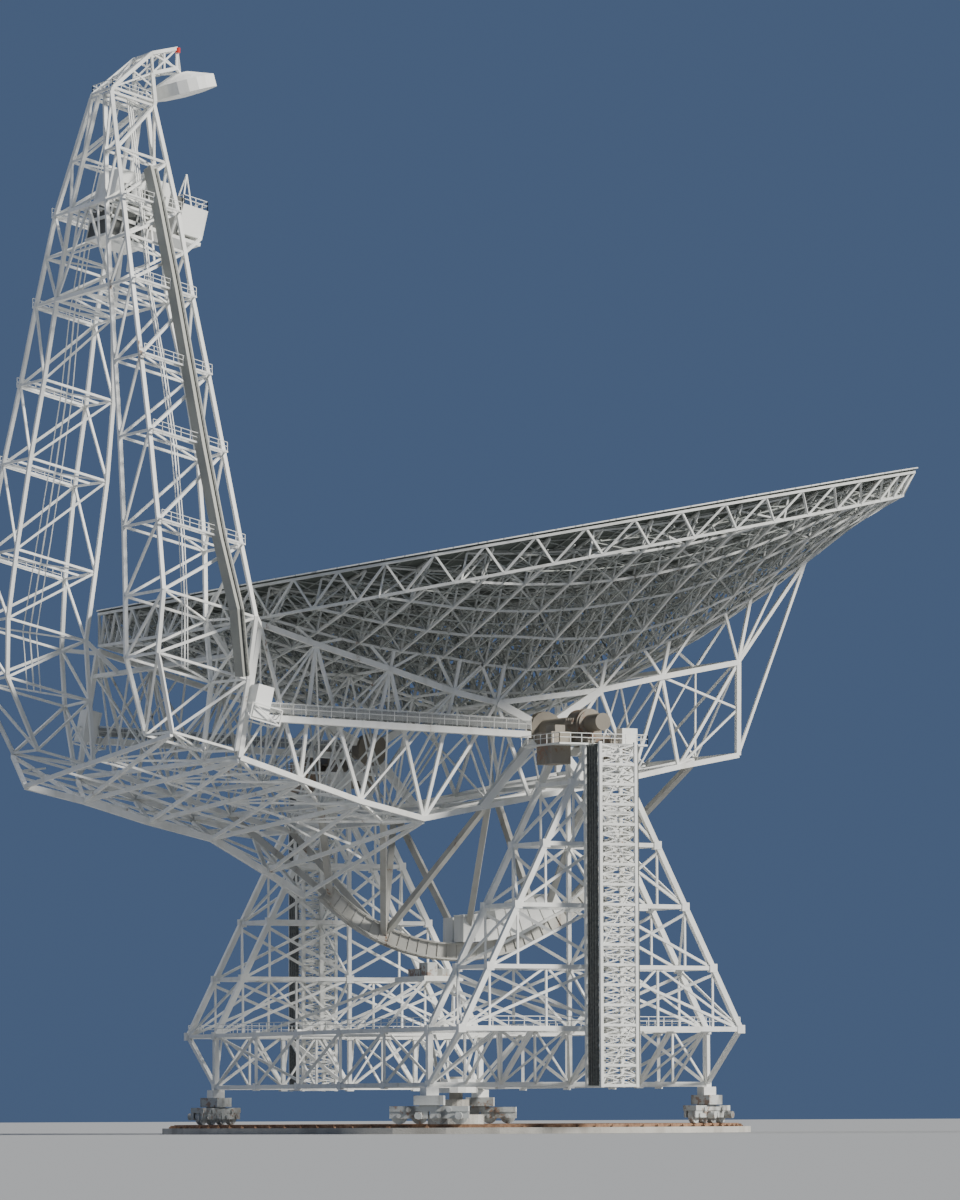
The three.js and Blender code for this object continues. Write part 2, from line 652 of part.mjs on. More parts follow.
// The wheel that the drive turns, its fan of spokes and its counterweight
function buildWheel() {
  const rim = (degrees) => {
    const angle = THREE.MathUtils.degToRad(degrees);
    const radius = WHEEL_RADIUS - WHEEL_DEPTH / 2;
    return [radius * Math.sin(angle), 0, -radius * Math.cos(angle)];
  };
  const spokes = [[-28, 27.4], [-9, 35.8], [-9, 48.8], [16, 48.8], [40, 61.6], [76, 75.0]];
  const members = [];
  for (const [degrees, at] of spokes) {
    for (const side of [-1, 1]) {
      const foot = place(at, side * BOX_CHORD_SIDE, along(BOX_BOTTOM, at));
      members.push(member([rim(degrees), foot], 0.7));
    }
  }
  const rimArc = wheelArc(WHEEL_RADIUS - WHEEL_DEPTH, WHEEL_RADIUS, 1.1, -30, 78, 22);
  addLattice(tipping, "elevation_wheel", members, { blocks: [rimArc], clearOf: ["box_cross_bracing"] });
  const inner = WHEEL_RADIUS - WHEEL_DEPTH - GAP - 0.02;
  const weight = wheelArc(inner - 3.4, inner, 5.2, 13, 47, 6);
  const cuts = members.map((m) => memberSolid(m, GAP));
  addPiece(tipping, "counterweight", cuts.reduce((a, b) => a.subtract(b), weight), WHITE_STEEL);
}

// The horizontal arm under the feed legs: its keel and the webs up to the box
function buildArmKeel() {
  const keel = [[-4.4, -24.0], [3.3, -23.8], [11.9, -24.1], [20.2, -24.0], [28.1, -26.1], [33.4, -27.6]];
  const points = keel.map(([at, up]) => place(at, 0, up));
  const members = [member(points, LEG)];
  const gusset = 1.0;
  const gussets = [];
  for (const s of [-1, 1]) {
    [LEG_FOOT, ...BOX_BOTTOM.slice(0, 4)].forEach(([at, up], i) => {
      const [x, y, z] = place(at, s * BOX_SIDE, up);
      const plateTop = z - LEG / 2 - 0.035;
      gussets.push(block([x, y, plateTop - gusset / 2], [gusset, 0.6, gusset]));
      const end = [x, y, plateTop - gusset / 2];
      members.push(brace(points[i], end));
      if (points[i + 1]) {
        members.push(brace(end, points[i + 1], LACE));
      }
    });
  }
  addLattice(tipping, "arm_keel_truss", members, { blocks: gussets, clearOf: ["elevation_wheel"] });
}
const LEG_FOOT = [2.5, -17];

// Chords of a feed leg, as [up, along] and [up, across] pairs
const LEG_STATIONS = [-17, -9.3, -2.5, 5.5, 16, 25, 34, 44.2, 57.4];
const atStations = (values) => values.map((value, i) => [LEG_STATIONS[i], value]);
const LEG_OUTER = atStations([2.5, -2.6, -4.2, -5.6, -7.4, -8.9, -10.5, -12.2, -13.6]);
const LEG_INNER = atStations([10.75, 9, 7.65, 5.1, 2.2, -0.1, -2.6, -4.95, -8]);
const LEG_INNER_BACK = atStations([10, 8.4, 6.2, 4.9, 2.8, 0.3, -3, -5.2, -8]);
const LEG_WIDE = atStations([22, 25, 26.5, 24.1, 20.4, 16.8, 13.4, 9.4, 2.8]);
const LEG_NARROW = atStations([15, 16.6, 16.4, 15, 12.5, 9.9, 7.5, 5, 0.9]);
const LEG_SEATED = 2;

// The four corners of a leg at a height, going round it
function legCorners(up, s) {
  const wide = s * along(LEG_WIDE, up);
  const narrow = s * along(LEG_NARROW, up);
  return [
    place(along(LEG_OUTER, up), wide, up),
    place(along(LEG_INNER, up), wide, up),
    place(along(LEG_INNER_BACK, up), narrow, up),
    place(along(LEG_OUTER, up), narrow, up),
  ];
}

// The two tapered legs that hold the receivers and the small mirror over the dish
function buildFeedLegs() {
  for (const [side, s] of [["near", 1], ["far", -1]]) {
    const shift = 0.7;
    const rings = LEG_STATIONS.map((up) => legCorners(up, s));
    const members = [];
    for (let corner = 0; corner < 4; corner++) {
      const next = (corner + 1) % 4;
      members.push(member(rings.map((ring) => ring[corner]), CHORD));
      rings.forEach((ring, i) => {
        members.push(brace(ring[corner], ring[next]));
        if (i && corner % 3 === 0) {
          const [from, to] = i % 2 ? [corner, next] : [next, corner];
          const low = legCorners(LEG_STATIONS[i - 1] + shift, s)[from];
          const high = legCorners(LEG_STATIONS[i] - shift, s)[to];
          members.push(brace(low, high, LACE));
        }
      });
    }
    const seated = rings[LEG_SEATED];
    members.push(member([seated[1], place(BOX_TOP[0][0], s * BOX_SIDE, LEG_STATIONS[LEG_SEATED])], BRACE));
    members.push(member([seated[2], place(BOX_END_TIE[0], s * 15, BOX_END_TIE[1])], BRACE));
    addLattice(tipping, `feed_leg_${side}`, members, { clearOf: [`box_${side}_truss`, "box_cross_bracing"] });
  }
}

// Ties and knee braces between the two feed legs
function buildLegTies() {
  const members = [];
  const tied = [LEG_STATIONS[LEG_SEATED], ...LEG_STATIONS.slice(-3, -1)];
  const half = (up, depth) => {
    const near = legCorners(up, 1)[depth];
    const far = legCorners(up, -1)[depth];
    const middle = near.map((v, i) => (v + far[i]) / 2);
    return { near, far, middle };
  };
  tied.forEach((up, i) => {
    const { near, far, middle } = half(up, 3);
    members.push(member([near, far], BEAM));
    if (up > 0) {
      const inner = half(up, 2);
      members.push(brace(inner.near, inner.far), brace(inner.middle, middle));
    }
    if (i > 1) {
      const below = half(tied[i - 1], 3);
      members.push(brace(below.near, middle), brace(below.far, middle));
    }
  });
  addLattice(tipping, "feed_leg_ties", members, { clearOfAll: ["feed_leg_near", "feed_leg_far"] });
}

// The rail of the lift that climbs the near feed leg, on its outer face
function buildLegRail() {
  const size = 1.2;
  const offset = (CHORD + size) / 2 + 0.07;
  const spots = [
    [7.8, -9.3], [4.7, -2.5], [1.8, 5.5], [-1.1, 16], [-3.2, 25], [-5.4, 34], [-8, 44.2], [-9, 48.5],
  ];
  const points = spots.map(([at, up]) => place(at, along(LEG_WIDE, up) + offset, up));
  addLattice(tipping, "feed_leg_lift_rail", [member(points, size)], { clearOfAll: ["feed_leg_near"] });
}

// The small mirror's front and back, on its axis
const MIRROR_TILT = 29.5;
const MIRROR_FRONT = place(-3.1, 0, 60.5);
const MIRROR_BACK = place(-4.5, 0, 63);

// The frame over the legs that reaches out and holds the small mirror
function buildHead() {
  const rows = [
    [[-13.6, 57.95], [-8, 57.95]], [[-9.6, 63.5], [-9.0, 61.2]], [[-6.5, 65.1], [-6.0, 62.8]],
  ];
  const widths = [2.8, 2.5, 2.3];
  const ring = ([outer, inner], width) => [
    place(outer[0], width, outer[1]), place(inner[0], width, inner[1]),
    place(inner[0], -width, inner[1]), place(outer[0], -width, outer[1]),
  ];
  const rings = rows.map((row, i) => ring(row, widths[i]));
  const members = [];
  for (let corner = 0; corner < 4; corner++) {
    const next = (corner + 1) % 4;
    members.push(member(rings.map((r) => r[corner]), CHORD));
    rings.forEach((r, i) => {
      members.push(brace(r[corner], r[next]));
      if (i && corner % 2) members.push(brace(rings[i - 1][corner], r[next], LACE));
    });
  }
  for (const [x, y, z] of rings[0]) {
    members.push(member([[x, y, z], [x, y, z - 0.7]], CHORD));
  }
  for (const corner of rings[2]) {
    members.push(brace(corner, MIRROR_BACK));
  }
  addLattice(tipping, "feed_head_frame", members, { clearOfAll: ["feed_leg_near", "feed_leg_far"] });
}

// The small mirror under the head, and the receiver room below it
function buildRooms() {
  const radius = 3.9;
  const profile = [[0, 2.9], [1, 2.9], [radius, 1.85], [radius, 0.35], [2.6, 0.15], [0, 0]];
  const lathe = new THREE.LatheGeometry(profile.map(([r, h]) => new THREE.Vector2(r * M, -h * M)), 20);
  lathe.rotateX(-Math.PI / 2);
  const front = MIRROR_FRONT.map((v) => v * M);
  const mirror = solidFrom(lathe).rotate([0, -MIRROR_TILT, 0]).translate(front);
  const cuts = latticeMembers.get("feed_head_frame").map((m) => memberSolid(m, GAP));
  addPiece(tipping, "subreflector", cuts.reduce((a, b) => a.subtract(b), mirror), PANEL_WHITE);
  const lowerStorey = block(place(-7.9, 0, 42.6), [5.3, 5.8, 4]);
  const room = block(place(-4.5, 0, 46.55), [12.1, 5.8, 4.5]).add(lowerStorey);
  const ties = latticeMembers.get("feed_leg_ties").map((m) => memberSolid(m, GAP));
  addPiece(tipping, "receiver_room", ties.reduce((a, b) => a.subtract(b), room), PANEL_WHITE);
}

// Walkways along the outside of the box, and the lift landings at their ends
function buildWalkways() {
  const size = 1.2;
  for (const [side, s] of [["near", 1], ["far", -1]]) {
    const across = s * (BOX_SIDE + BRACE / 2 + GAP + size / 2);
    const [from, to] = [[-35.7, -8.21], [-2.2, -1.35]].map(([x, z]) => [x, -across, z]);
    addLattice(tipping, `${side}_walkway`, [member([from, to], size)], {
      clearOf: [`${side}_elevation_shaft`, `box_${side}_truss`],
    });
    const depth = 2;
    const centre = place(11.8, s * (BOX_SIDE + CHORD / 2 + GAP + depth / 2), -11.2);
    addPiece(tipping, `${side}_lift_landing`, block(centre, [2, depth, 3.8]), PANEL_WHITE);
  }
}

buildTrack();
buildTrucks();
buildTowers();
buildSideBases();
buildLongBases();
buildDeckFrame();
buildLiftShafts();
buildBearings();
buildDrive();
buildReflector();
buildRimTruss();
buildBackingFrame();
buildBoxSides();
buildBoxCrossing();
buildElevationShafts();
buildWheel();
buildFeedLegs();
buildArmKeel();
buildLegTies();
buildLegRail();
buildHead();
buildRooms();
buildWalkways();

export default telescope;
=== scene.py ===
import math

import bpy
import mathutils
import numpy as np
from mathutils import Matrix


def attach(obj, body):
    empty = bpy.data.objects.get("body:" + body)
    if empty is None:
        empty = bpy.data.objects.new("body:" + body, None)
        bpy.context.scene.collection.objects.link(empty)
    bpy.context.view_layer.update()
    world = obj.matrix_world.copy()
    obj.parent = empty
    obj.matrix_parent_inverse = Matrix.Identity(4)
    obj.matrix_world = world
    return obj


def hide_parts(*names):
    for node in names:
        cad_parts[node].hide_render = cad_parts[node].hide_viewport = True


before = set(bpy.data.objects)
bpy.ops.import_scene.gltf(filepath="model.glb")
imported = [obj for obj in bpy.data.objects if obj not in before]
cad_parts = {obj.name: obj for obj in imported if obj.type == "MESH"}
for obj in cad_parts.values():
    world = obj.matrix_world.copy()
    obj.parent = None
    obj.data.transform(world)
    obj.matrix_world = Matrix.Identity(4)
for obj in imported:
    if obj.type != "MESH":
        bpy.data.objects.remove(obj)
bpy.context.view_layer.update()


# White paint on rolled steel. It covers every lattice of the telescope, sprayed on site in many
# coats: chalky on top, stained by rain below the joints, with a little rust at the nodes.
class Flow:
    """One socket of a material's nodes. Sums on it add the nodes that do them."""

    def __init__(self, coat, socket):
        self.coat = coat
        self.socket = socket

    def sum(self, operation, *values):
        sockets = dict(enumerate(values))
        return self.coat.node("ShaderNodeMath", {"operation": operation}, sockets)

    def __add__(self, other):
        return self.sum("ADD", self, other)

    __radd__ = __add__

    def __sub__(self, other):
        return self.sum("SUBTRACT", self, other)

    def __rsub__(self, other):
        return self.sum("SUBTRACT", other, self)

    def __mul__(self, other):
        return self.sum("MULTIPLY", self, other)

    __rmul__ = __mul__

    def __truediv__(self, other):
        return self.sum("DIVIDE", self, other)

    def __rtruediv__(self, other):
        return self.sum("DIVIDE", other, self)

    def __abs__(self):
        return self.sum("ABSOLUTE", self)

    def __mod__(self, other):
        return self.sum("FLOORED_MODULO", self, other)

    def floor(self):
        return self.sum("FLOOR", self)

    def sqrt(self):
        return self.sum("SQRT", self)

    def greater(self, other):
        return self.sum("MAXIMUM", self, other)

    def below(self, edge, soft):
        """1 where the value is under the edge, 0 over it, with a soft step between."""
        return self.ramp(edge - soft, edge + soft, 1, 0)

    def above(self, edge, soft):
        return self.ramp(edge - soft, edge + soft, 0, 1)

    def ramp(self, low, high, start=0, end=1):
        return self.coat.node("ShaderNodeMapRange", {}, {0: self, 1: low, 2: high, 3: start, 4: end})

    def parts(self):
        return [self.coat.node("ShaderNodeSeparateXYZ", {}, {0: self}, out=i) for i in range(3)]


class Coat:
    """A material, its nodes, and the shader that ends it."""

    def __init__(self, name):
        self.material = bpy.data.materials.new(name)
        self.material.use_nodes = True
        self.tree = self.material.node_tree
        self.shader = self.tree.nodes["Principled BSDF"]

    def fill(self, node, key, value):
        if isinstance(value, Flow):
            self.tree.links.new(value.socket, node.inputs[key])
        elif isinstance(value, tuple) and len(value) == 3 and node.inputs[key].type == "RGBA":
            node.inputs[key].default_value = (*value, 1)
        else:
            node.inputs[key].default_value = value

    def node(self, kind, settings, sockets, out=0):
        node = self.tree.nodes.new(kind)
        for name, value in settings.items():
            setattr(node, name, value)
        for key, value in sockets.items():
            self.fill(node, key, value)
        return Flow(self, node.outputs[out])

    def place(self, stretch=(1, 1, 1)):
        """The point on the piece at rest, in model metres."""
        point = self.node("ShaderNodeTexCoord", {}, {}, out=3)
        return self.node("ShaderNodeVectorMath", {"operation": "MULTIPLY"}, {0: point, 1: stretch})

    def noise(self, scale, detail=4.0, stretch=(1, 1, 1)):
        sockets = {"Vector": self.place(stretch), "Scale": scale, "Detail": detail}
        return self.node("ShaderNodeTexNoise", {}, sockets)

    def blend(self, mask, first, second):
        """The first colour where the mask is 0 and the second where it is 1."""
        return self.node("ShaderNodeMix", {"data_type": "RGBA"}, {0: mask, 6: first, 7: second}, out=2)

    def bump(self, height, strength, distance=0.01):
        return self.node("ShaderNodeBump", {}, {"Strength": strength, "Distance": distance, "Height": height})

    def shade(self, **sockets):
        for name, value in sockets.items():
            self.fill(self.shader, name.replace("_", " "), value)
        return self.material


RUST_BROWN = (0.23, 0.1, 0.045)


def steel_paint(name, fresh, chalk, grime, rust_share=0.5):
    """Paint on steel, from its fresh colour, its chalked colour and the grime that rain leaves."""
    coat = Coat(name)
    cloud = coat.noise(0.9, 5.0)
    streak = coat.noise(6.0, 5.0, (1, 1, 0.12))
    speck = coat.noise(38.0, 6.0)
    rust = streak.above(0.66 + (1 - rust_share) * 0.1, 0.03) * speck.above(0.52, 0.06)
    colour = coat.blend(cloud.ramp(0.35, 0.7), fresh, chalk)
    colour = coat.blend(streak.ramp(0.5, 0.75, 0, 0.45), colour, grime)
    colour = coat.blend(rust * 0.8, colour, RUST_BROWN)
    roughness = 0.5 + cloud * 0.18 + rust * 0.25
    return coat.shade(Base_Color=colour, Roughness=roughness, Normal=coat.bump(speck, 0.25, 0.004))


white_steel = steel_paint("white_steel", (0.86, 0.865, 0.84), (0.78, 0.785, 0.755), (0.5, 0.49, 0.43))


# Ring track: a cast concrete ring wall with a grouted wear plate and a steel rail on it. The rail
# is in lengths with mitred joints, held down by bolted clips in pairs.
MODEL = 0.1
RAIL_RADIUS, CLIP_PAIRS = 33.2, 96


def show(name, verts, faces, body, slot, material, smooth=False):
    """Makes one piece from points in full-size metres and lets it ride on its body."""
    mesh = bpy.data.meshes.new(name)
    mesh.from_pydata((np.asarray(verts, float) * MODEL).tolist(), [], faces)
    mesh.materials.append(material)
    if smooth:
        mesh.polygons.foreach_set("use_smooth", [True] * len(mesh.polygons))
    piece = bpy.data.objects.new(name, mesh)
    bpy.context.scene.collection.objects.link(piece)
    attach(piece, body)
    return piece


BOX_QUADS = ((0, 1, 3, 2), (4, 6, 7, 5), (0, 4, 5, 1), (2, 3, 7, 6), (0, 2, 6, 4), (1, 5, 7, 3))


def boxes(blocks):
    """Points and faces of plain blocks, each given by its lowest and highest corners."""
    verts, faces = [], []
    for low, high in blocks:
        first = len(verts)
        for x in (low[0], high[0]):
            for y in (low[1], high[1]):
                verts += [(x, y, low[2]), (x, y, high[2])]
        faces += [[first + i for i in quad] for quad in BOX_QUADS]
    return verts, faces


def turned(verts, angle, centre):
    """Points turned about a vertical line through the origin, then moved to a centre."""
    verts = np.asarray(verts, float)
    c, s = math.cos(angle), math.sin(angle)
    x, y = verts[:, 0] * c - verts[:, 1] * s, verts[:, 0] * s + verts[:, 1] * c
    return np.stack([x + centre[0], y + centre[1], verts[:, 2] + centre[2]], 1)


def gathered(parts):
    """One set of points and faces out of several."""
    verts, faces = [], []
    for part_verts, part_faces in parts:
        faces += [[len(verts) + i for i in face] for face in part_faces]
        verts += [tuple(v) for v in part_verts]
    return verts, faces


def cast_concrete(name):
    coat = Coat(name)
    pour, grit = coat.noise(1.6, 6.0), coat.noise(60.0, 4.0)
    stain = coat.noise(3.0, 4.0, (1, 1, 0.2)).above(0.58, 0.08)
    colour = coat.blend(pour.ramp(0.3, 0.75), (0.44, 0.42, 0.38), (0.57, 0.55, 0.5))
    colour = coat.blend(stain * 0.5, colour, (0.25, 0.23, 0.2))
    colour = coat.blend(grit.above(0.63, 0.03) * 0.4, colour, (0.3, 0.29, 0.27))
    return coat.shade(Base_Color=colour, Roughness=0.82 + pour * 0.15, Normal=coat.bump(grit + pour, 0.5))


def dress(name, material):
    """Gives its finish to a piece that stays as the solid model has it."""
    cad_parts[name].data.materials[0] = material


concrete = cast_concrete("concrete")
dress("track_foundation", concrete)
dress("pintle_foundation", concrete)

rail_coat = Coat("rail_steel")
x, y, z = rail_coat.place().parts()
off_centre = abs((x * x + y * y).sqrt() - RAIL_RADIUS * MODEL)
polish = off_centre.below(0.026, 0.006)
scale_rust = rail_coat.noise(26.0, 6.0)
rusty = rail_coat.blend(scale_rust.ramp(0.35, 0.65), (0.2, 0.105, 0.06), (0.33, 0.2, 0.12))
rail_coat.shade(
    Base_Color=rail_coat.blend(polish, rusty, (0.6, 0.59, 0.57)),
    Metallic=polish * 0.95,
    Roughness=0.8 - polish * 0.5,
    Normal=rail_coat.bump(scale_rust, 0.4, 0.004),
)
dress("track_rail", rail_coat.material)

CLIP_PLATE = ((-0.24, -0.2, 0.7), (0.24, 0.2, 0.86))
CLIP_BOLT = ((-0.07, -0.07, 0.86), (0.07, 0.07, 1.02))
clips = []
for i in range(CLIP_PAIRS):
    for side in (-0.75, 0.75):
        clip_verts, clip_faces = boxes([CLIP_PLATE, CLIP_BOLT])
        angle, radius = 2 * math.pi * i / CLIP_PAIRS, RAIL_RADIUS + side
        spot = (radius * math.cos(angle), radius * math.sin(angle), 0)
        clips.append((turned(clip_verts, angle, spot), clip_faces))
show("rail_clips", *gathered(clips), "track", "rail_steel", rail_coat.material)


# Trucks: four wheels in two rocking pairs under an equaliser beam, with a drive motor on each
# pair. They are in grey machinery paint, with grease at the axles and rust at the edges.
def machine_paint(name, fresh, worn):
    coat = Coat(name)
    cloud, speck = coat.noise(2.2, 5.0), coat.noise(24.0, 6.0)
    grease = coat.noise(4.5, 4.0, (1, 1, 0.35)).above(0.57, 0.06)
    rust = (cloud * speck).above(0.32, 0.03)
    colour = coat.blend(cloud.ramp(0.3, 0.7), fresh, worn)
    colour = coat.blend(grease * 0.65, colour, (0.1, 0.09, 0.075))
    colour = coat.blend(rust * 0.7, colour, (0.25, 0.12, 0.06))
    return coat.shade(Base_Color=colour, Roughness=0.62 - grease * 0.25, Normal=coat.bump(speck, 0.35, 0.005))


machine_grey = machine_paint("machine_grey", (0.55, 0.57, 0.56), (0.46, 0.47, 0.45))


def drum(centre, radius, length, direction, sides):
    """Points and faces of a round drum about one axis."""
    turn = [2 * math.pi * i / sides for i in range(sides)]
    ring = [(radius * math.cos(t), radius * math.sin(t)) for t in turn]
    order = {
        "x": lambda a, b, h: (h, a, b),
        "y": lambda a, b, h: (b, h, a),
        "z": lambda a, b, h: (a, b, h),
    }
    verts = [order[direction](a, b, h) for h in (-length / 2, length / 2) for a, b in ring]
    faces = [[i, (i + 1) % sides, sides + (i + 1) % sides, sides + i] for i in range(sides)]
    faces += [list(range(sides))[::-1], list(range(sides, 2 * sides))]
    return [tuple(p + c for p, c in zip(v, centre)) for v in verts], faces


HALF_LENGTH, INNER_Y = 18.3, 27.8
WHEEL_RADIUS, AXLE_HEIGHT, PAIR_REACH, WHEEL_REACH = 0.95, 2.055, 2.3, 1.15
for x_name, x_side in (("front", -1), ("rear", 1)):
    for y_name, y_side in (("near", -1), ("far", 1)):
        saddle, socket = ((-1.2, -1.7, 3.25), (1.2, 1.7, 4.35)), ((-0.7, -1.1, 3.1), (0.7, 1.1, 3.3))
        equaliser = ((-0.85, -4.5, 2.55), (0.85, 4.5, 3.15))
        parts = [boxes([saddle, equaliser, socket])]
        for middle in (-PAIR_REACH, PAIR_REACH):
            cheeks = []
            for x in (-0.62, 0.62):
                cheeks.append(((x - 0.13, middle - 2.2, 1.75), (x + 0.13, middle + 2.2, 2.6)))
            parts += [boxes(cheeks), drum((0, middle, 2.75), 0.3, 2.1, "x", 20)]
            for wheel in (-WHEEL_REACH, WHEEL_REACH):
                hub = (0, middle + wheel, AXLE_HEIGHT)
                parts += [drum(hub, WHEEL_RADIUS, 0.62, "x", 40), drum(hub, 0.26, 1.9, "x", 20)]
                parts.append(drum(hub, 0.55, 0.72, "x", 24))
            parts.append(drum((1.25, middle + WHEEL_REACH, AXLE_HEIGHT), 0.42, 0.9, "x", 20))
            parts.append(boxes([((0.9, middle + 0.8, 1.7), (1.3, middle + 1.5, 2.45))]))
        verts, faces = gathered(parts)
        angle = math.atan2(y_side * INNER_Y, x_side * HALF_LENGTH)
        verts = turned(verts, angle, (x_side * HALF_LENGTH, y_side * INNER_Y, 0))
        truck = show(f"{x_name}_{y_name}_bogie", verts, faces, "alidade", "machine_grey", machine_grey)
        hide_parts(f"truck_{x_name}_{y_name}")


# Base of the alidade: square tubes welded into trusses between the four corners, with the finer
# bracing, gusset plates at the joints, and a handrail round the deck.
SILL, DECK, OUTER_Y = 5.6, 11.9, 35.5


def struts(bars):
    """Points and faces of square bars, each given by its ends and its thickness."""
    starts = np.array([bar[0] for bar in bars], float)
    ends = np.array([bar[1] for bar in bars], float)
    half = np.array([bar[2] for bar in bars], float)[:, None] / 2
    run = ends - starts
    run /= np.linalg.norm(run, axis=1)[:, None]
    upright = np.abs(run[:, 2:3]) > 0.9
    side = np.cross(run, np.where(upright, [[1.0, 0, 0]], [[0, 0, 1.0]]))
    side /= np.linalg.norm(side, axis=1)[:, None]
    out = np.cross(side, run)
    corners = [(-1, -1), (1, -1), (1, 1), (-1, 1)]
    rows = [end + half * (a * side + b * out) for end in (starts, ends) for a, b in corners]
    verts = np.stack(rows, 1).reshape(-1, 3)
    pattern = np.array([(0, 1, 5, 4), (1, 2, 6, 5), (2, 3, 7, 6), (3, 0, 4, 7), (3, 2, 1, 0), (4, 5, 6, 7)])
    faces = (pattern[None] + 8 * np.arange(len(bars))[:, None, None]).reshape(-1, 4)
    return verts, faces.tolist()


def halfway(p, q, share=0.5):
    return tuple(a + (b - a) * share for a, b in zip(p, q))


def handrail(points, spacing=2.0, height=1.1, size=0.07):
    """Posts and two rails along a walk, given by the points at its edge."""
    bars = []
    for p, q in zip(points, points[1:]):
        count = max(1, round(math.dist(p, q) / spacing))
        feet = [halfway(p, q, i / count) for i in range(count + 1)]
        bars += [(foot, (foot[0], foot[1], foot[2] + height), size) for foot in feet]
        for level in (height, height * 0.55):
            bars.append(((p[0], p[1], p[2] + level), (q[0], q[1], q[2] + level), size))
    return bars


bars = []
rows = np.linspace(-INNER_Y, INNER_Y, 11)
for x in (-HALF_LENGTH, HALF_LENGTH):
    for y0, y1 in zip(rows[::2], rows[2::2]):
        bars.append(((x, y0, DECK), (x * 0.72, (y0 + y1) / 2, DECK), 0.2))
        bars.append(((x * 0.72, (y0 + y1) / 2, DECK), (x, y1, DECK), 0.2))
columns = np.linspace(-HALF_LENGTH, HALF_LENGTH, 9)
for s in (-1, 1):
    for i, x in enumerate(columns):
        if i % 2:
            for out in (s * INNER_Y, s * OUTER_Y):
                bars.append(((x, s * INNER_Y, SILL), (x, out, DECK), 0.24))
                for foot_x in (columns[i - 1], columns[i + 1]):
                    bars.append(((foot_x, s * INNER_Y, SILL), (x, out, DECK), 0.22))
        bars.append(((x, s * INNER_Y, DECK), (x, s * OUTER_Y, DECK), 0.26))
    for x0, x1 in zip(columns[::2], columns[2::2]):
        bars.append(((x0, s * INNER_Y, DECK), (x1, s * OUTER_Y, DECK), 0.2))
    for x in (-HALF_LENGTH, HALF_LENGTH):
        knee = (x * 0.6, s * rows[8], SILL)
        bars += [((x, s * INNER_Y, DECK), knee, 0.3), ((x, s * rows[8], SILL), knee, 0.3)]
show("base_finer_bracing", *struts(bars), "alidade", "white_steel", white_steel)


def gusset_pairs(spots, normal, size, thick):
    """Square plates on both sides of each joint, facing along X or along Y."""
    blocks = []
    for x, y, z in spots:
        a, b = (size / 2, thick / 2) if normal == "y" else (thick / 2, size / 2)
        blocks.append(((x - a, y - b, z - size / 2), (x + a, y + b, z + size / 2)))
    return boxes(blocks)


end_joints = [(x, y, z) for x in (-HALF_LENGTH, HALF_LENGTH) for y in rows[::2] for z in (SILL, DECK)]
side_joints = [(x, s * INNER_Y, z) for x in columns[::2] for s in (-1, 1) for z in (SILL, DECK)]
plates = [gusset_pairs(end_joints, "x", 0.9, 0.56), gusset_pairs(side_joints, "y", 0.9, 0.66)]
show("base_gussets", *gathered(plates), "alidade", "white_steel", white_steel)

edge = DECK + 0.28
walk = handrail([(-HALF_LENGTH, -OUTER_Y, edge), (HALF_LENGTH, -OUTER_Y, edge)])
walk += handrail([(-HALF_LENGTH, OUTER_Y, edge), (HALF_LENGTH, OUTER_Y, edge)])
for x in (-HALF_LENGTH, HALF_LENGTH):
    walk += handrail([(x, -INNER_Y, edge), (x, INNER_Y, edge)])
show("deck_handrails", *struts(walk), "alidade", "white_steel", white_steel)


# Towers: two A-shaped frames each, of square tube with braces in every bay, tied to one another
# at each level, with gusset plates at the joints.
AXIS_HEIGHT, STOREY = 47, 7.02


def leg_x(z):
    """How far out a tower's leaning leg stands at a height."""
    return HALF_LENGTH * (AXIS_HEIGHT - z) / (AXIS_HEIGHT - DECK)


levels = [DECK + k * STOREY for k in range(5)]
bars, plates = [], []
for s in (-1, 1):
    inner, outer = s * INNER_Y, s * OUTER_Y
    for y in (inner, outer):
        for low, high in zip(levels, levels[1:]):
            for end in (-1, 1):
                foot, head = end * leg_x(low), end * leg_x(high)
                bars += [((foot, y, low), (0, y, high), 0.3), ((head, y, low), (head, y, high), 0.22)]
        for end in (-1, 1):
            knot = (end * leg_x(levels[1]) / 2, y, levels[1])
            feet = [(end * HALF_LENGTH, y, DECK), (0, y, DECK), (knot[0], y, DECK)]
            bars += [(knot, foot, 0.24) for foot in feet]
        for z in levels:
            plates.append(gusset_pairs([(-leg_x(z), y, z), (leg_x(z), y, z), (0, y, z)], "y", 0.95, 0.68))
    for k, (low, high) in enumerate(zip(levels, levels[1:])):
        start, stop = (inner, outer) if k % 2 else (outer, inner)
        for end in (-1, 0, 1):
            bars.append(((end * leg_x(low), start, low), (end * leg_x(high), stop, high), 0.26))
        bars.append(((0, inner, high), (0, outer, high), 0.3))
show("tower_finer_bracing", *struts(bars), "alidade", "white_steel", white_steel)
show("tower_gussets", *gathered(plates), "alidade", "white_steel", white_steel)


# Lift shafts: four angle posts with strong rungs and fine crossed lacing between them, black cables down the
# left face and one at the right front corner, which also stand in as a dark band of painted shade for the
# shaded side face, and a ladder just inside the outer face.
# Near-black: the real colour of the lift mast's cable, and on the lift shafts painted shade.
cable_and_shade_black = Coat("cable_black_and_painted_shade")
wear = cable_and_shade_black.noise(30.0, 4.0)
cable_and_shade_black.shade(
    Base_Color=cable_and_shade_black.blend(wear.ramp(0.4, 0.7), (0.085, 0.09, 0.084), (0.19, 0.195, 0.18)),
    Roughness=0.55 + wear * 0.2,
)
SHAFT_HALF, SHAFT_BACK, SHAFT_FRONT = 2.3, 36.0, 39.4
SHAFT_BOTTOM, SHAFT_TOP, SHAFT_BAYS = SILL - 0.2, 44.2, 17
step = (SHAFT_TOP - SHAFT_BOTTOM) / SHAFT_BAYS


def chain(points, size):
    """Bars of one thickness from each point to the next."""
    return [(p, q, size) for p, q in zip(points, points[1:])]


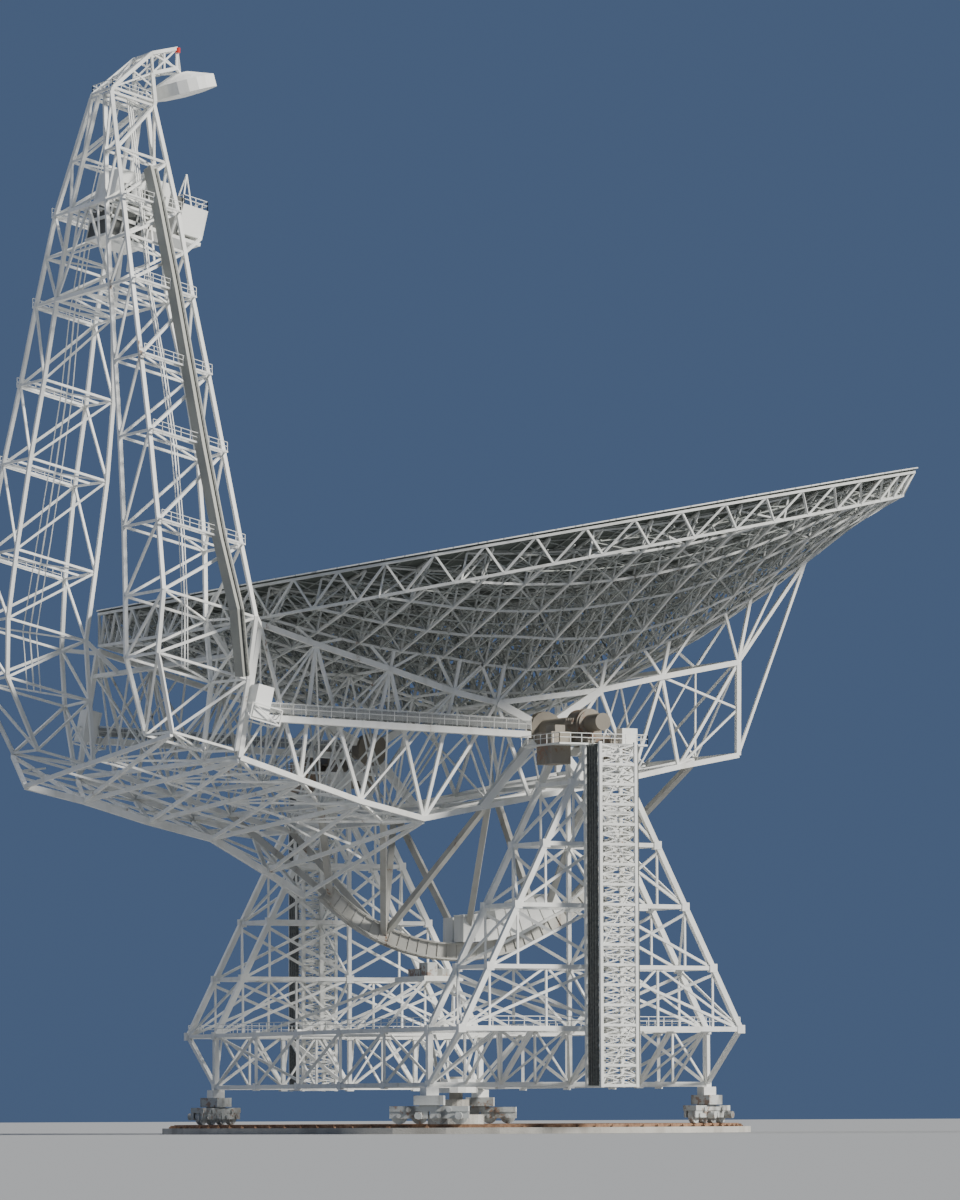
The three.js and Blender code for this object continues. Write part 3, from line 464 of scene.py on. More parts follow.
for name, s in (("near", -1), ("far", 1)):
    back, front = s * SHAFT_BACK, s * SHAFT_FRONT
    corners = [(-SHAFT_HALF, front), (SHAFT_HALF, front), (SHAFT_HALF, back), (-SHAFT_HALF, back)]
    bars, cables = [], []
    for i in range(SHAFT_BAYS):
        z = SHAFT_BOTTOM + i * step
        for (x0, y0), (x1, y1) in zip(corners, corners[1:] + corners[:1]):
            bars.append(((x0, y0, z), (x1, y1, z), 0.3))
            bars.append(((x0, y0, z + step / 2), (x1, y1, z + step / 2), 0.14))
            bars += chain([(x0, y0, z), (x1, y1, z + step / 2), (x0, y0, z + step)], 0.13)
            bars += chain([(x1, y1, z), (x0, y0, z + step / 2), (x1, y1, z + step)], 0.13)
    ladder = front - s * 0.5
    for x in (-0.5, 0.5):
        bars.append(((x, ladder, SHAFT_BOTTOM), (x, ladder, SHAFT_TOP), 0.1))
    for z in np.arange(SHAFT_BOTTOM, SHAFT_TOP, 0.6):
        bars.append(((-0.5, ladder, z), (0.5, ladder, z), 0.07))
    # Black cables down the left face and one at the right front corner: a dark band of painted shade for the
    # shaft's shaded side.
    for share in (0.34, 0.5, 0.66, 0.82):
        y = back + (front - back) * share
        cables.append(((-2.55, y, SHAFT_BOTTOM), (-2.55, y, SHAFT_TOP), 0.34))
    cables.append(((2.5, front, SHAFT_BOTTOM), (2.5, front, SHAFT_TOP), 0.3))
    show(f"{name}_shaft_lacing", *struts(bars), "alidade", "white_steel", white_steel)
    show(f"{name}_shaft_shade_cables", *struts(cables), "alidade", "machine_grey", cable_and_shade_black.material)


# Bearings: split cast pillow blocks with bolted caps, the brown weathered housings and white
# cabinets beside them, and the platform with its handrail at the top of each tower.
bearing_paint = machine_paint("bearing_brown", (0.33, 0.3, 0.25), (0.23, 0.2, 0.16))
PLATFORM, PLATFORM_END, PLATFORM_SIDES = 44.5, 5.8, (27.2, 36.2)
for name, s in (("near", -1), ("far", 1)):
    dress(f"{name}_bearing", bearing_paint)
    y = s * (INNER_Y + OUTER_Y) / 2
    housings = [
        ((-2.5, y - 1.9, 45.35), (2.5, y + 1.9, 45.6)),
        ((-2.2, y - 0.9, 46.85), (2.2, y + 0.9, 47.15)),
        ((-5.4, y - 2.0, 42.2), (-2.9, y + 1.6, 45.9)),
        ((-4.6, y - 1.4, 45.9), (-3.3, y + 0.8, 46.7)),
        ((3.0, y - 1.6, 42.8), (4.6, y + 1.4, 45.2)),
    ]
    parts = [boxes(housings)]
    for x in (-1.95, 1.95):
        for offset in (-1.0, -0.35, 0.35, 1.0):
            parts.append(drum((x, y + offset * 0.8, 47.35), 0.13, 0.5, "z", 8))
    for offset in (-1.42, 1.42):
        parts.append(drum((0, y + offset, AXIS_HEIGHT), 1.5, 0.2, "y", 36))
    show(f"{name}_bearing_cap", *gathered(parts), "alidade", "machine_grey", bearing_paint)
    inside, outside = (s * side for side in PLATFORM_SIDES)
    low, high = sorted((inside, outside))
    cabinet_y = s * 34.2
    floor = [
        ((-PLATFORM_END, low, PLATFORM - 0.2), (-2.0, high, PLATFORM)),
        ((2.0, low, PLATFORM - 0.2), (PLATFORM_END, high, PLATFORM)),
        ((4.8, y - 0.9, PLATFORM), (5.6, y + 0.9, 46.3)),
        ((3.2, cabinet_y - 0.7, PLATFORM), (5.2, cabinet_y + 0.7, 46.4)),
    ]
    show(f"{name}_tower_platform", *boxes(floor), "alidade", "white_steel", white_steel)
    rails = []
    for x in (-PLATFORM_END, PLATFORM_END):
        rails += handrail([(x, outside, PLATFORM), (x, inside, PLATFORM)], 1.5)
    rails += handrail([(-PLATFORM_END, outside, PLATFORM), (PLATFORM_END, outside, PLATFORM)], 1.5)
    show(f"{name}_tower_platform_rail", *struts(rails), "alidade", "white_steel", white_steel)
dress("elevation_drive", machine_grey)


# Elevation shafts: a forged journal and hub, brown and weathered, turns in each bearing. It is
# welded to arms of white tube that carry the box.
shaft_coat = Coat("shaft_paint")
x, y, z = shaft_coat.place().parts()
rise = z - AXIS_HEIGHT * MODEL
hub = (x * x + rise * rise).sqrt().below(0.215, 0.004)
cloud = shaft_coat.noise(2.5, 5.0)
white = shaft_coat.blend(cloud, (0.86, 0.865, 0.84), (0.74, 0.74, 0.71))
brown = shaft_coat.blend(cloud, (0.3, 0.27, 0.22), (0.16, 0.14, 0.11))
shaft_coat.shade(Base_Color=shaft_coat.blend(hub, white, brown), Roughness=0.5 + cloud * 0.2)
dress("near_elevation_shaft", shaft_coat.material)
dress("far_elevation_shaft", shaft_coat.material)


# Wheel and counterweight: the wheel's rim is a welded box girder with a bolted rack of teeth, and
# the counterweight is a row of white steel boxes filled with concrete.
wheel_paint = steel_paint("wheel_paint", (0.56, 0.555, 0.52), (0.44, 0.43, 0.39), (0.24, 0.22, 0.18), 0.9)
dress("elevation_wheel", wheel_paint)
BEAM_ABOVE_HORIZON = 76.8
lean = math.radians(90 - BEAM_ABOVE_HORIZON)


def round_wheel(degrees, radius, across):
    """A point on the wheel, by its angle from the line of the beam below the axis."""
    angle = math.radians(degrees) - lean
    return (radius * math.sin(angle), across, AXIS_HEIGHT - radius * math.cos(angle))


RACK_RADIUS, WEIGHT_RADIUS = 26.45, 24.3
parts = []
for side in (-0.8, 0.8):
    for radius in (24.5, 26.3):
        rim = [round_wheel(d, radius, side) for d in np.linspace(-30, 78, 70)]
        parts.append(struts(chain(rim, 0.16)))
teeth, stiffeners = [], []
for degrees in np.arange(-29, 77, 0.45):
    teeth.append((*(round_wheel(degrees, RACK_RADIUS, side) for side in (-0.35, 0.35)), 0.14))
for degrees in np.arange(-29, 78, 3):
    for side in (-0.62, 0.62):
        stiffeners.append((*(round_wheel(degrees, radius, side) for radius in (24.4, 26.4)), 0.12))
parts += [struts(teeth), struts(stiffeners)]
show("wheel_rack", *gathered(parts), "dish", "white_steel", wheel_paint)

WEIGHT_DEPTHS = (3.0, 3.3, 2.5, 3.4, 3.4, 2.8, 3.4, 3.0, 2.2)
weights, faces = [], []
for i, depth in enumerate(WEIGHT_DEPTHS):
    start = 12.5 + i * 3.9
    for side in (-2.6, 0.15):
        first = len(weights)
        for degrees in (start, start + 3.5):
            for radius in (WEIGHT_RADIUS, WEIGHT_RADIUS - depth):
                weights += [round_wheel(degrees, radius, side), round_wheel(degrees, radius, side + 2.45)]
        faces += [[first + k for k in quad] for quad in BOX_QUADS]
counterweight = show("counterweight_boxes", weights, faces, "dish", "white_steel", white_steel)
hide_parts("counterweight")


# Box under the dish: two deep side trusses and their cross bracing, in square tube, with the
# finer braces that fan out from the joints of the bottom chord.
BOX_TOP = [
    (10.4, -2.2), (17.8, -2.6), (27.7, -2.9), (36.3, -3.3),
    (42.1, -3.1), (55.1, 1.9), (62.9, 5.6), (72.6, 10.0),
]
BOX_BOTTOM = [
    (11.4, -17.7), (19.4, -18.2), (27.4, -18.7), (35.8, -18.6),
    (48.8, -12.8), (61.6, -7.0), (67.4, -4.2), (75.0, -0.8),
]
BOX_SIDE, BOX_INNER = 22, 12
ACROSS = (-BOX_SIDE, -BOX_INNER, 0, BOX_INNER, BOX_SIDE)
AXIS_ALONG, AXIS_UP = 48.8, -4.45


def tipped(along, across, up):
    """A point of what tips, square to the beam: along the offset from the axis of the parent bowl,
    across towards the near side, and up along the beam. For short they are u, a and w."""
    x, z = along - AXIS_ALONG, up - AXIS_UP
    c, s = math.cos(lean), math.sin(lean)
    return (x * c + z * s, -across, AXIS_HEIGHT - x * s + z * c)


def joint(place, across):
    """A joint given by its place in the side view and how far across it lies."""
    return tipped(place[0], across, place[1])


bars = []
for s in (-1, 1):
    outer, inner = s * BOX_SIDE, s * BOX_INNER
    for top in BOX_TOP:
        # The braces fan out further where the box is deep.
        reach = 12 if top[0] < 50 else 5
        for low in BOX_BOTTOM:
            distance = abs(low[0] - top[0])
            if distance < reach:
                bars.append((joint(top, outer), joint(low, outer), 0.24))
            if distance < reach - 1:
                bars.append((joint(top, outer), joint(low, inner), 0.2))
            if distance < 9:
                bars.append((joint(top, inner), joint(low, inner), 0.2))
    end = halfway(joint(BOX_TOP[-1], outer), joint(BOX_BOTTOM[-1], outer))
    bars += [(end, joint(row[-2], outer), 0.26) for row in (BOX_TOP, BOX_BOTTOM)]
rows = [[joint(place, across) for across in ACROSS] for place in BOX_BOTTOM]
for row in rows:
    bars += chain(row, 0.26)
for row, after in zip(rows, rows[1:]):
    for k in range(4):
        bars += [(row[k], after[k + 1], 0.2), (row[k + 1], after[k], 0.2)]
for place, row in zip(BOX_TOP[1:], rows[1:]):
    roof = [joint(place, across) for across in ACROSS]
    bars += [(roof[0], roof[4], 0.26), (row[1], roof[2], 0.2), (row[3], roof[2], 0.2)]
show("box_finer_bracing", *struts(bars), "dish", "white_steel", white_steel)


# Backing structure of the dish: a space frame of ribs both ways, shallow at the rim and deep in
# the middle, of thin welded tube. It replaces the coarser ribs and rim of the solid model.
# The ribs and the rim truss are painted grey and the fine stringers dark grey, darker than the white steel:
# painted shade for the dish's shaded underside.
rib_shade_paint = steel_paint("ribs_painted_shade_grey", (0.7, 0.71, 0.69), (0.6, 0.61, 0.59), (0.36, 0.36, 0.32), 0.4)
stringer_shade_paint = steel_paint(
    "stringer_shade_paint", (0.42, 0.44, 0.42), (0.32, 0.34, 0.32), (0.16, 0.17, 0.15), 0.3
)
CENTRE, DISH_RADIUS, RIM_FOOT, RIM_TOP, PITCH = 50.6, 46.8, 45.6, 46.5, 5.5
BOWL_SHIFT, FOCAL_LENGTH = 3.4, 60


def bowl(along, across):
    """How high the paraboloid of the reflecting skin lies."""
    return ((along + BOWL_SHIFT) ** 2 + across**2) / (4 * FOCAL_LENGTH) - 0.1


def rim_depth(u):
    return 3.5 - 0.75 * (u - CENTRE) / DISH_RADIUS


def keel(u, a):
    """How high the foot of the ribs lies: close under the rim, and deepest over the box."""
    share = ((u - CENTRE) ** 2 + a * a) / RIM_FOOT**2
    sag = 4.2 * max(0, 1 - ((u - 60) / 30) ** 2 - (a / 34) ** 2) ** 0.8
    return bowl(u, a) - rim_depth(u) - 7 * max(0, 1 - share) ** 1.4 - sag


def grid_rows(pitch):
    """Each row of nodes along one rib, ended on the rim, for every rib across the dish."""
    count = int(RIM_FOOT / pitch)
    for i in range(-count, count + 1):
        reach = math.sqrt(RIM_FOOT**2 - (i * pitch) ** 2)
        inner = [j * PITCH for j in range(-8, 9) if abs(j * PITCH) < reach - 1.2]
        yield i * pitch, [-reach] + inner + [reach]


def rib_bars(nodes, turn_round):
    """One rib: two chords, its posts, and a brace in every bay."""
    over = [tipped(u, a, bowl(u, a) - 0.6) for u, a in nodes]
    under = [tipped(u, a, keel(u, a)) for u, a in nodes]
    bars = chain(over, 0.22) + chain(under, 0.27)
    for k in range(len(nodes) - 1):
        near, far = (over, under) if k % 2 == turn_round else (under, over)
        bars.append((near[k], far[k + 1], 0.18))
    return bars, over, under


def fine_bars(row, flip):
    """The fine members along one line: under the panels, at half depth and along the keel."""
    nodes = [(a, v) if flip else (v, a) for v, a in row]
    under_panels = [tipped(u, a, bowl(u, a) - 0.3) for u, a in nodes]
    half_depth = [tipped(u, a, (bowl(u, a) + keel(u, a)) / 2) for u, a in nodes]
    along_keel = [tipped(u, a, keel(u, a)) for u, a in nodes]
    bars = chain(under_panels, 0.13) + chain(half_depth, 0.13) + chain(along_keel, 0.13)
    for upper, lower in ((under_panels, half_depth), (half_depth, along_keel)):
        bars += [(upper[k], lower[k + 1], 0.11) for k in range(len(row) - 1)]
    return bars


ribs, crossing, stringers = [], [], []
for a, row in grid_rows(PITCH):
    bars, over, under = rib_bars([(CENTRE + v, a) for v in row], 1)
    ribs += bars + [(p, q, 0.2) for p, q in zip(over, under)]
for v, row in grid_rows(PITCH):
    crossing += rib_bars([(CENTRE + v, b) for b in row], 0)[0]
for a, row in grid_rows(PITCH / 2):
    stringers += fine_bars([(CENTRE + v, a) for v in row], False)
for v, row in grid_rows(PITCH / 2):
    stringers += fine_bars([(b, CENTRE + v) for b in row], True)
along_ribs = show("backing_ribs", *struts(ribs), "dish", "shaded_steel", rib_shade_paint)
show("backing_cross_ribs", *struts(crossing), "dish", "shaded_steel", rib_shade_paint)
show("panel_stringers", *struts(stringers), "dish", "shaded_steel", stringer_shade_paint)
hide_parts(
    "rib_middle", "rib_near_1", "rib_far_1", "rib_near_2", "rib_far_2", "rib_near_3", "rib_far_3",
)

RIM_BAYS = 54
rim, top_nodes, foot_nodes = [], [], []
for i in range(RIM_BAYS):
    angle = 2 * math.pi * i / RIM_BAYS
    u, a = CENTRE + RIM_TOP * math.cos(angle), RIM_TOP * math.sin(angle)
    top_nodes.append(tipped(u, a, bowl(u, a) - 0.45))
    angle += math.pi / RIM_BAYS
    u, a = CENTRE + RIM_FOOT * math.cos(angle), RIM_FOOT * math.sin(angle)
    foot_nodes.append(tipped(u, a, bowl(u, a) - rim_depth(u)))
for i in range(RIM_BAYS):
    rim += [(top_nodes[i - 1], top_nodes[i], 0.3), (foot_nodes[i - 1], foot_nodes[i], 0.32)]
    rim += [(top_nodes[i], foot_nodes[i - 1], 0.24), (top_nodes[i], foot_nodes[i], 0.24)]
rim_truss = show("rim_truss", *struts(rim), "dish", "shaded_steel", rib_shade_paint)
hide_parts("rim_truss_low", "rim_truss_high")

posts = []
for across in (-BOX_SIDE, -BOX_INNER, BOX_INNER, BOX_SIDE):
    for place in BOX_TOP[1:]:
        for u in (place[0] - 3, place[0] + 3):
            posts.append((joint(place, across), tipped(u, across, keel(u, across)), 0.28))
for across in (-BOX_SIDE, BOX_SIDE):
    head = tipped(79, across, keel(79, across))
    posts += [(joint(BOX_TOP[-1], across), head, 0.4), (joint(BOX_BOTTOM[-1], across), head, 0.32)]
show("dish_posts", *struts(posts), "dish", "white_steel", white_steel)


# Reflecting skin: about two thousand white panels on actuators, side by side with fine gaps, and on their
# undersides near-black grey-green metal with lighter stiffeners, the near-black being painted shade for the
# dish's shaded underside.
panel_white = Coat("panel_white")
x, y, z = panel_white.place().parts()
PANEL_LENGTH, PANELS_A_RADIAN = 0.25, 26.0
rise = z - AXIS_HEIGHT * MODEL
along_bowl = x * math.cos(lean) - rise * math.sin(lean) + (AXIS_ALONG + BOWL_SHIFT) * MODEL
row = (along_bowl * along_bowl + y * y).sqrt() / PANEL_LENGTH
column = y.sum("ARCTAN2", y, along_bowl) * PANELS_A_RADIAN
row_gap = abs(row % 1.0 - 0.5).above(0.472, 0.012)
column_gap = abs(column % 1.0 - 0.5).above(0.478, 0.01)
seams = row_gap.greater(column_gap)
weather = panel_white.noise(0.7, 6.0)
panel = panel_white.node("ShaderNodeCombineXYZ", {}, {0: (row + 0.5).floor(), 1: (column + 0.5).floor()})
panel_tone = panel_white.node("ShaderNodeTexWhiteNoise", {"noise_dimensions": "2D"}, {"Vector": panel})
sheet = panel_white.blend(weather.ramp(0.35, 0.7), (0.84, 0.845, 0.83), (0.77, 0.775, 0.75))
sheet = panel_white.blend(panel_tone * 0.22, sheet, (0.66, 0.67, 0.66))
panel_white.shade(
    Base_Color=panel_white.blend(seams * 0.75, sheet, (0.3, 0.31, 0.31)),
    Roughness=0.42 + weather * 0.2,
    Normal=panel_white.bump(1 - seams, 0.35, 0.006),
)
# Undersides of the panels: near-black grey-green as painted shade, with lighter stripes for the stiffeners.
panel_back_painted_shade = Coat("panel_back_painted_shade")
x = panel_back_painted_shade.place().parts()[0]
mottle = panel_back_painted_shade.noise(3.0, 6.0)
stiffener = abs((x * 8) % 1.0 - 0.5).above(0.42, 0.03)
under = panel_back_painted_shade.blend(mottle.ramp(0.3, 0.7), (0.09, 0.105, 0.095), (0.13, 0.15, 0.135))
panel_back_painted_shade.shade(
    Base_Color=panel_back_painted_shade.blend(stiffener * 0.5, under, (0.2, 0.22, 0.2)),
    Roughness=0.6 + mottle * 0.15,
    Normal=panel_back_painted_shade.bump(stiffener, 0.4, 0.006),
)
SPOKES, RINGS, SKIN_THICKNESS = 96, 16, 0.16
verts, faces, under_faces = [], [], []
for depth in (0, SKIN_THICKNESS):
    for i in range(RINGS + 1):
        radius = max(0.05, DISH_RADIUS * i / RINGS)
        for j in range(SPOKES):
            angle = 2 * math.pi * j / SPOKES
            u, a = CENTRE + radius * math.cos(angle), radius * math.sin(angle)
            verts.append(tipped(u, a, bowl(u, a) - depth))
offset = (RINGS + 1) * SPOKES
for i in range(RINGS):
    for j in range(SPOKES):
        k = (j + 1) % SPOKES
        quad = [i * SPOKES + j, i * SPOKES + k, (i + 1) * SPOKES + k, (i + 1) * SPOKES + j]
        faces.append(quad)
        under_faces.append([offset + v for v in reversed(quad)])
top_edge, first = RINGS * SPOKES, len(verts)
verts += verts[top_edge:top_edge + SPOKES] + verts[offset + top_edge:offset + top_edge + SPOKES]
lip = []
for j in range(SPOKES):
    k = (j + 1) % SPOKES
    lip.append([first + j, first + k, first + SPOKES + k, first + SPOKES + j])
sheets = faces + under_faces + lip
skin = show("reflecting_skin", verts, sheets, "dish", "panel_white", panel_white.material, smooth=True)
skin.data.materials.append(panel_back_painted_shade.material)
for polygon in skin.data.polygons[len(faces):len(faces) + len(under_faces)]:
    polygon.material_index = 1
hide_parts("reflector_low_near", "reflector_low_far", "reflector_high_near", "reflector_high_far")


# Walkways and lift landings: grating on a deep white beam with a handrail and its mesh, level in
# the pose of the photograph, and a clad white cabin with a lattice platform at the low end.
WIRES_A_METRE = 90
mesh_grey = Coat("mesh_grey")
x, y, z = mesh_grey.place((WIRES_A_METRE, WIRES_A_METRE, WIRES_A_METRE)).parts()
wires = abs(x % 1.0 - 0.5).above(0.3, 0.03).greater(abs(z % 1.0 - 0.5).above(0.3, 0.03))
mesh_grey.shade(
    Base_Color=mesh_grey.blend(mesh_grey.noise(3.0), (0.3, 0.31, 0.3), (0.4, 0.41, 0.4)),
    Roughness=0.6,
    Alpha=wires,
)


def plank(start, end, width, height):
    """A flat beam between two points of one upright plane, wide across it."""
    (x0, y, z0), (x1, _, z1) = start, end
    verts = []
    for x, z in ((x0, z0), (x1, z1)):
        for offset in (-width / 2, width / 2):
            verts += [(x, y + offset, z - height / 2), (x, y + offset, z + height / 2)]
    return verts, [list(quad) for quad in BOX_QUADS]


WALK_SIDE, WALK_ENDS = 22.87, ((13.1, -12.66), (46.6, -5.8))
LANDING_CORNERS = ((10.4, 22.4), (10.4, 24.6), (14.2, 24.6), (14.2, 22.4))
for name, s in (("near", -1), ("far", 1)):
    ends = [joint(place, -s * WALK_SIDE) for place in WALK_ENDS]
    raised = [(x, y, z + 0.5) for x, y, z in ends]
    beam = plank(*ends, 1.16, 0.75)
    walkway = show(f"{name}_walkway_beam", *beam, "dish", "white_steel", white_steel)
    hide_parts(f"{name}_walkway")
    rails, bands = [], []
    for offset in (-0.55, 0.55):
        line = [(x, y + offset, z) for x, y, z in raised]
        rails += handrail(line, 1.6, 1.25)
        bands.append(plank(*[(x, y, z + 0.6) for x, y, z in line], 0.03, 1.0))
    show(f"{name}_walkway_mesh", *gathered(bands), "dish", "white_steel", mesh_grey.material)
    for u in np.linspace(16, 46, 9):
        w = -12.4 + (u - 16) * 0.2
        rails.append((tipped(u, -s * 22.2, w), tipped(u, -s * 23.2, w + 1.0), 0.18))
    landing, upper = ([tipped(u, -s * a, w) for u, a in LANDING_CORNERS] for w in (-13.4, -11.6))
    for k in range(4):
        rails += [(landing[k], landing[k - 1], 0.16), (upper[k], upper[k - 1], 0.14)]
        rails += [(landing[k], upper[k], 0.14), (landing[k], upper[k - 1], 0.1)]
    show(f"{name}_walkway_rails", *struts(rails), "dish", "white_steel", white_steel)


# Horizontal arm: one heavy keel with braces up to the bottom chords of the box on both sides,
# and finer braces between them. All is square tube, welded at the joints.
KEEL = [(-4.28, -23.97), (3.3, -23.8), (11.9, -24.1), (20.2, -24.0), (28.1, -26.1), (33.4, -27.6)]
keel_line = [tipped(u, 0, w) for u, w in KEEL]
bars = chain(keel_line, 0.72)
upper = [(2.5, -17.0), *BOX_BOTTOM[:4]]
for s in (-1, 1):
    heads = [tipped(u, s * BOX_SIDE, w - 0.35) for u, w in upper]
    for i, (place, head) in enumerate(zip(upper, heads)):
        foot, next_foot = keel_line[i], keel_line[i + 1]
        knot = halfway(foot, head)
        bars += [(foot, head, 0.46), (head, next_foot, 0.38), (knot, halfway(next_foot, head), 0.22)]
        if i + 1 < len(upper):
            bars += [(knot, heads[i + 1], 0.24), (halfway(head, heads[i + 1]), knot, 0.2)]
            bars.append((joint(place, s * BOX_SIDE), joint(upper[i + 1], s * BOX_INNER), 0.24))
    for share in (0.28, 0.55):
        bars += chain([halfway(foot, head, share) for foot, head in zip(keel_line, heads)], 0.26)
arm = show("arm_keel", *struts(bars), "dish", "white_steel", white_steel)
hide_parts("arm_keel_truss")


# Feed legs: tapered towers of four square tubes with one brace in every panel, small landings with
# handrails outside, and a ladder inside. Braced ties join them below the room and at it.
LEG_UPS = (-17, -9.3, -2.5, 5.5, 16, 25, 34, 44.2, 57.4)
LEG_OUTER = (2.5, -2.6, -4.2, -5.6, -7.4, -8.9, -10.5, -12.2, -13.6)
LEG_INNER = (10.75, 9, 7.65, 5.1, 2.2, -0.1, -2.6, -4.95, -8)
LEG_INNER_BACK = (10, 8.4, 6.2, 4.9, 2.8, 0.3, -3, -5.2, -8)
LEG_WIDE = (22, 25, 26.5, 24.1, 20.4, 16.8, 13.4, 9.4, 2.8)
LEG_NARROW = (15, 16.6, 16.4, 15, 12.5, 9.9, 7.5, 5, 0.9)
LEG_STATIONS = sorted((*LEG_UPS, 39.4, 50.3))


def read(places, w):
    """The place of a chord at a height along the beam, from its places at LEG_UPS."""
    return float(np.interp(w, LEG_UPS, places))


def leg_corners(w, s):
    """The four chords of one leg at a height along the beam: two wide outside, two narrow inside."""
    wide, narrow = s * read(LEG_WIDE, w), s * read(LEG_NARROW, w)
    return [
        tipped(read(LEG_OUTER, w), wide, w),
        tipped(read(LEG_INNER, w), wide, w),
        tipped(read(LEG_INNER_BACK, w), narrow, w),
        tipped(read(LEG_OUTER, w), narrow, w),
    ]


for name, s in (("near", 1), ("far", -1)):
    rings = [leg_corners(w, s) for w in LEG_STATIONS]
    bars = []
    for corner in range(4):
        bars += chain([ring[corner] for ring in rings], 0.44)
    for ring in rings:
        bars += [(ring[c - 1], ring[c], 0.27) for c in range(4)]
        bars.append((ring[0], ring[2], 0.2))
    for low, high in zip(rings, rings[1:]):
        bars += [(low[0], high[1], 0.32), (low[3], high[2], 0.27)]
        bars += [(low[3], high[0], 0.27), (low[2], high[1], 0.27)]
    seat = rings[2]
    bars += [(seat[1], tipped(10.4, s * 22.2, -2.5), 0.5), (seat[2], tipped(10.62, s * 15, -5.4), 0.5)]
    leg = show(f"{name}_feed_leg", *struts(bars), "dish", "white_steel", white_steel)
    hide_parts(f"feed_leg_{name}")
    rails = []
    for w in LEG_UPS[3:8]:
        a, b, c, d = leg_corners(w, s)
        deck = [(x, y - s, z) for x, y, z in (a, b)]
        rails += [(a, deck[0], 0.16), (b, deck[1], 0.16), (*deck, 0.2), (halfway(a, d), halfway(b, c), 0.24)]
        rails += handrail(deck, 1.2, 1.1, 0.06)
    for low, high in zip(rings[1:], rings[2:]):
        for share in (0.44, 0.56):
            rails.append((halfway(low[0], low[2], share), halfway(high[0], high[2], share), 0.1))
        rails.append((halfway(low[0], low[2]), halfway(high[0], high[2]), 0.14))
    show(f"{name}_leg_landings", *struts(rails), "dish", "white_steel", white_steel)

bars = []
low_tie, high_tie = ((leg_corners(w, 1), leg_corners(w, -1)) for w in LEG_UPS[6:8])
for c in (2, 3):
    middle = halfway(high_tie[0][c], high_tie[1][c])
    halves = [halfway(leg[c], middle) for leg in low_tie]
    bars.append((*halves, 0.22))
    bars += [(half, halfway(leg[c], middle), 0.2) for half, leg in zip(halves, high_tie)]
for a, b in (low_tie, high_tie):
    cells = [[halfway(a[c], b[c], k / 4) for k in range(5)] for c in (2, 3)]
    bars += [(cells[0][k], cells[1][k + 1], 0.2) for k in range(4)]
    bars += [(cells[1][k], cells[0][k + 1], 0.2) for k in range(4)]
show("leg_tie_braces", *struts(bars), "dish", "white_steel", white_steel)


# Rail of the leg's lift: a grey galvanised mast on the outer face of the near leg, with a black
# cable in its groove.
galvanised = Coat("galvanised_mast")
dull, fleck = galvanised.noise(1.4, 5.0, (1, 1, 0.3)), galvanised.noise(30.0, 5.0)
galvanised.shade(
    Base_Color=galvanised.blend(dull.ramp(0.3, 0.7), (0.4, 0.405, 0.37), (0.28, 0.285, 0.26)),
    Metallic=0.2,
    Roughness=0.55 + fleck * 0.2,
    Normal=galvanised.bump(fleck, 0.3, 0.004),
)
dress("feed_leg_lift_rail", galvanised.material)
spots = ((7.8, -9.3), (4.7, -2.5), (1.8, 5.5), (-1.1, 16), (-3.2, 25), (-5.4, 34), (-8, 44.2), (-9, 48.5))
cable = [tipped(u + 0.35, read(LEG_WIDE, w) + 1.62, w) for u, w in spots]
show("lift_mast_cable", *struts(chain(cable, 0.22)), "dish", "white_steel", cable_and_shade_black.material)


# Receiver room: a clad cabin between the legs on two ties, with a lower storey that is open, its inside
# painted near-black as shade, a pale flat roof with a handrail, and a small mast on it.
# Near-black with a faint mottle: painted shade for the dark inside of the room.
recess_painted_shade = Coat("recess_painted_shade")
shade_mottle = recess_painted_shade.noise(5.0, 4.0)
shade_black_mottled = recess_painted_shade.blend(shade_mottle, (0.06, 0.065, 0.065), (0.13, 0.135, 0.13))
recess_painted_shade.shade(Base_Color=shade_black_mottled, Roughness=0.7)


def tipped_boxes(blocks):
    """Blocks that lie square to the beam, each given by its lowest and highest corners."""
    verts, faces = boxes(blocks)
    return [tipped(*v) for v in verts], [face[::-1] for face in faces]


ROOM_HALF, ROOF = 2.9, 47.3
STOREYS = (
    (-10.55, -3.6, 45.6, 49.0), (-1.7, 1.55, 43.8, ROOF),
    (-10.55, 1.5, 42.95, 43.35), (-10.55, -5.25, 40.6, 41.0),
)
storeys = [((u0, -ROOM_HALF, w0), (u1, ROOM_HALF, w1)) for u0, u1, w0, w1 in STOREYS]
room = show("receiver_storeys", *tipped_boxes(storeys), "dish", "panel_white", white_steel)
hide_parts("receiver_room")
# Near-black boxes of painted shade: inside the open storeys and behind three windows in the side wall.
recess = [
    ((-10.4, -2.7, 43.35), (-1.7, 2.7, 45.6)),
    ((-3.6, -2.6, 45.6), (-1.7, 2.6, 48.0)),
    ((-10.4, -2.7, 41.0), (-5.4, 2.7, 42.95)),
]
recess += [((u, ROOM_HALF, 46.2), (u + 1.1, ROOM_HALF + 0.04, 47.4)) for u in (-9.6, -7.4, -5.2)]
show("receiver_painted_shade", *tipped_boxes(recess), "dish", "panel_white", recess_painted_shade.material)
posts = []
for u in (-10.4, -8.7, -7, -5.4):
    posts += [(tipped(u, a, 41), tipped(u, a, 45.6), 0.2) for a in (-2.8, 2.8)]
show("receiver_posts", *struts(posts), "dish", "panel_white", white_steel)
edge = [tipped(u, a, ROOF) for u, a in ((-1.6, 2.8), (1.5, 2.8), (1.5, -2.8), (-1.6, -2.8), (-1.6, 2.8))]
bars = handrail(edge, 1.4)
mast_head = tipped(-1.4, 1.2, 51.2)
bars += [(tipped(u, a, ROOF), mast_head, 0.14) for u, a in ((-1.6, 0.2), (-1.6, 2.4), (0.2, 1.2))]
bars.append((tipped(1.4, 2.8, 43.9), leg_corners(39.4, 1)[1], 0.3))
show("room_rails", *struts(bars), "dish", "white_steel", white_steel)


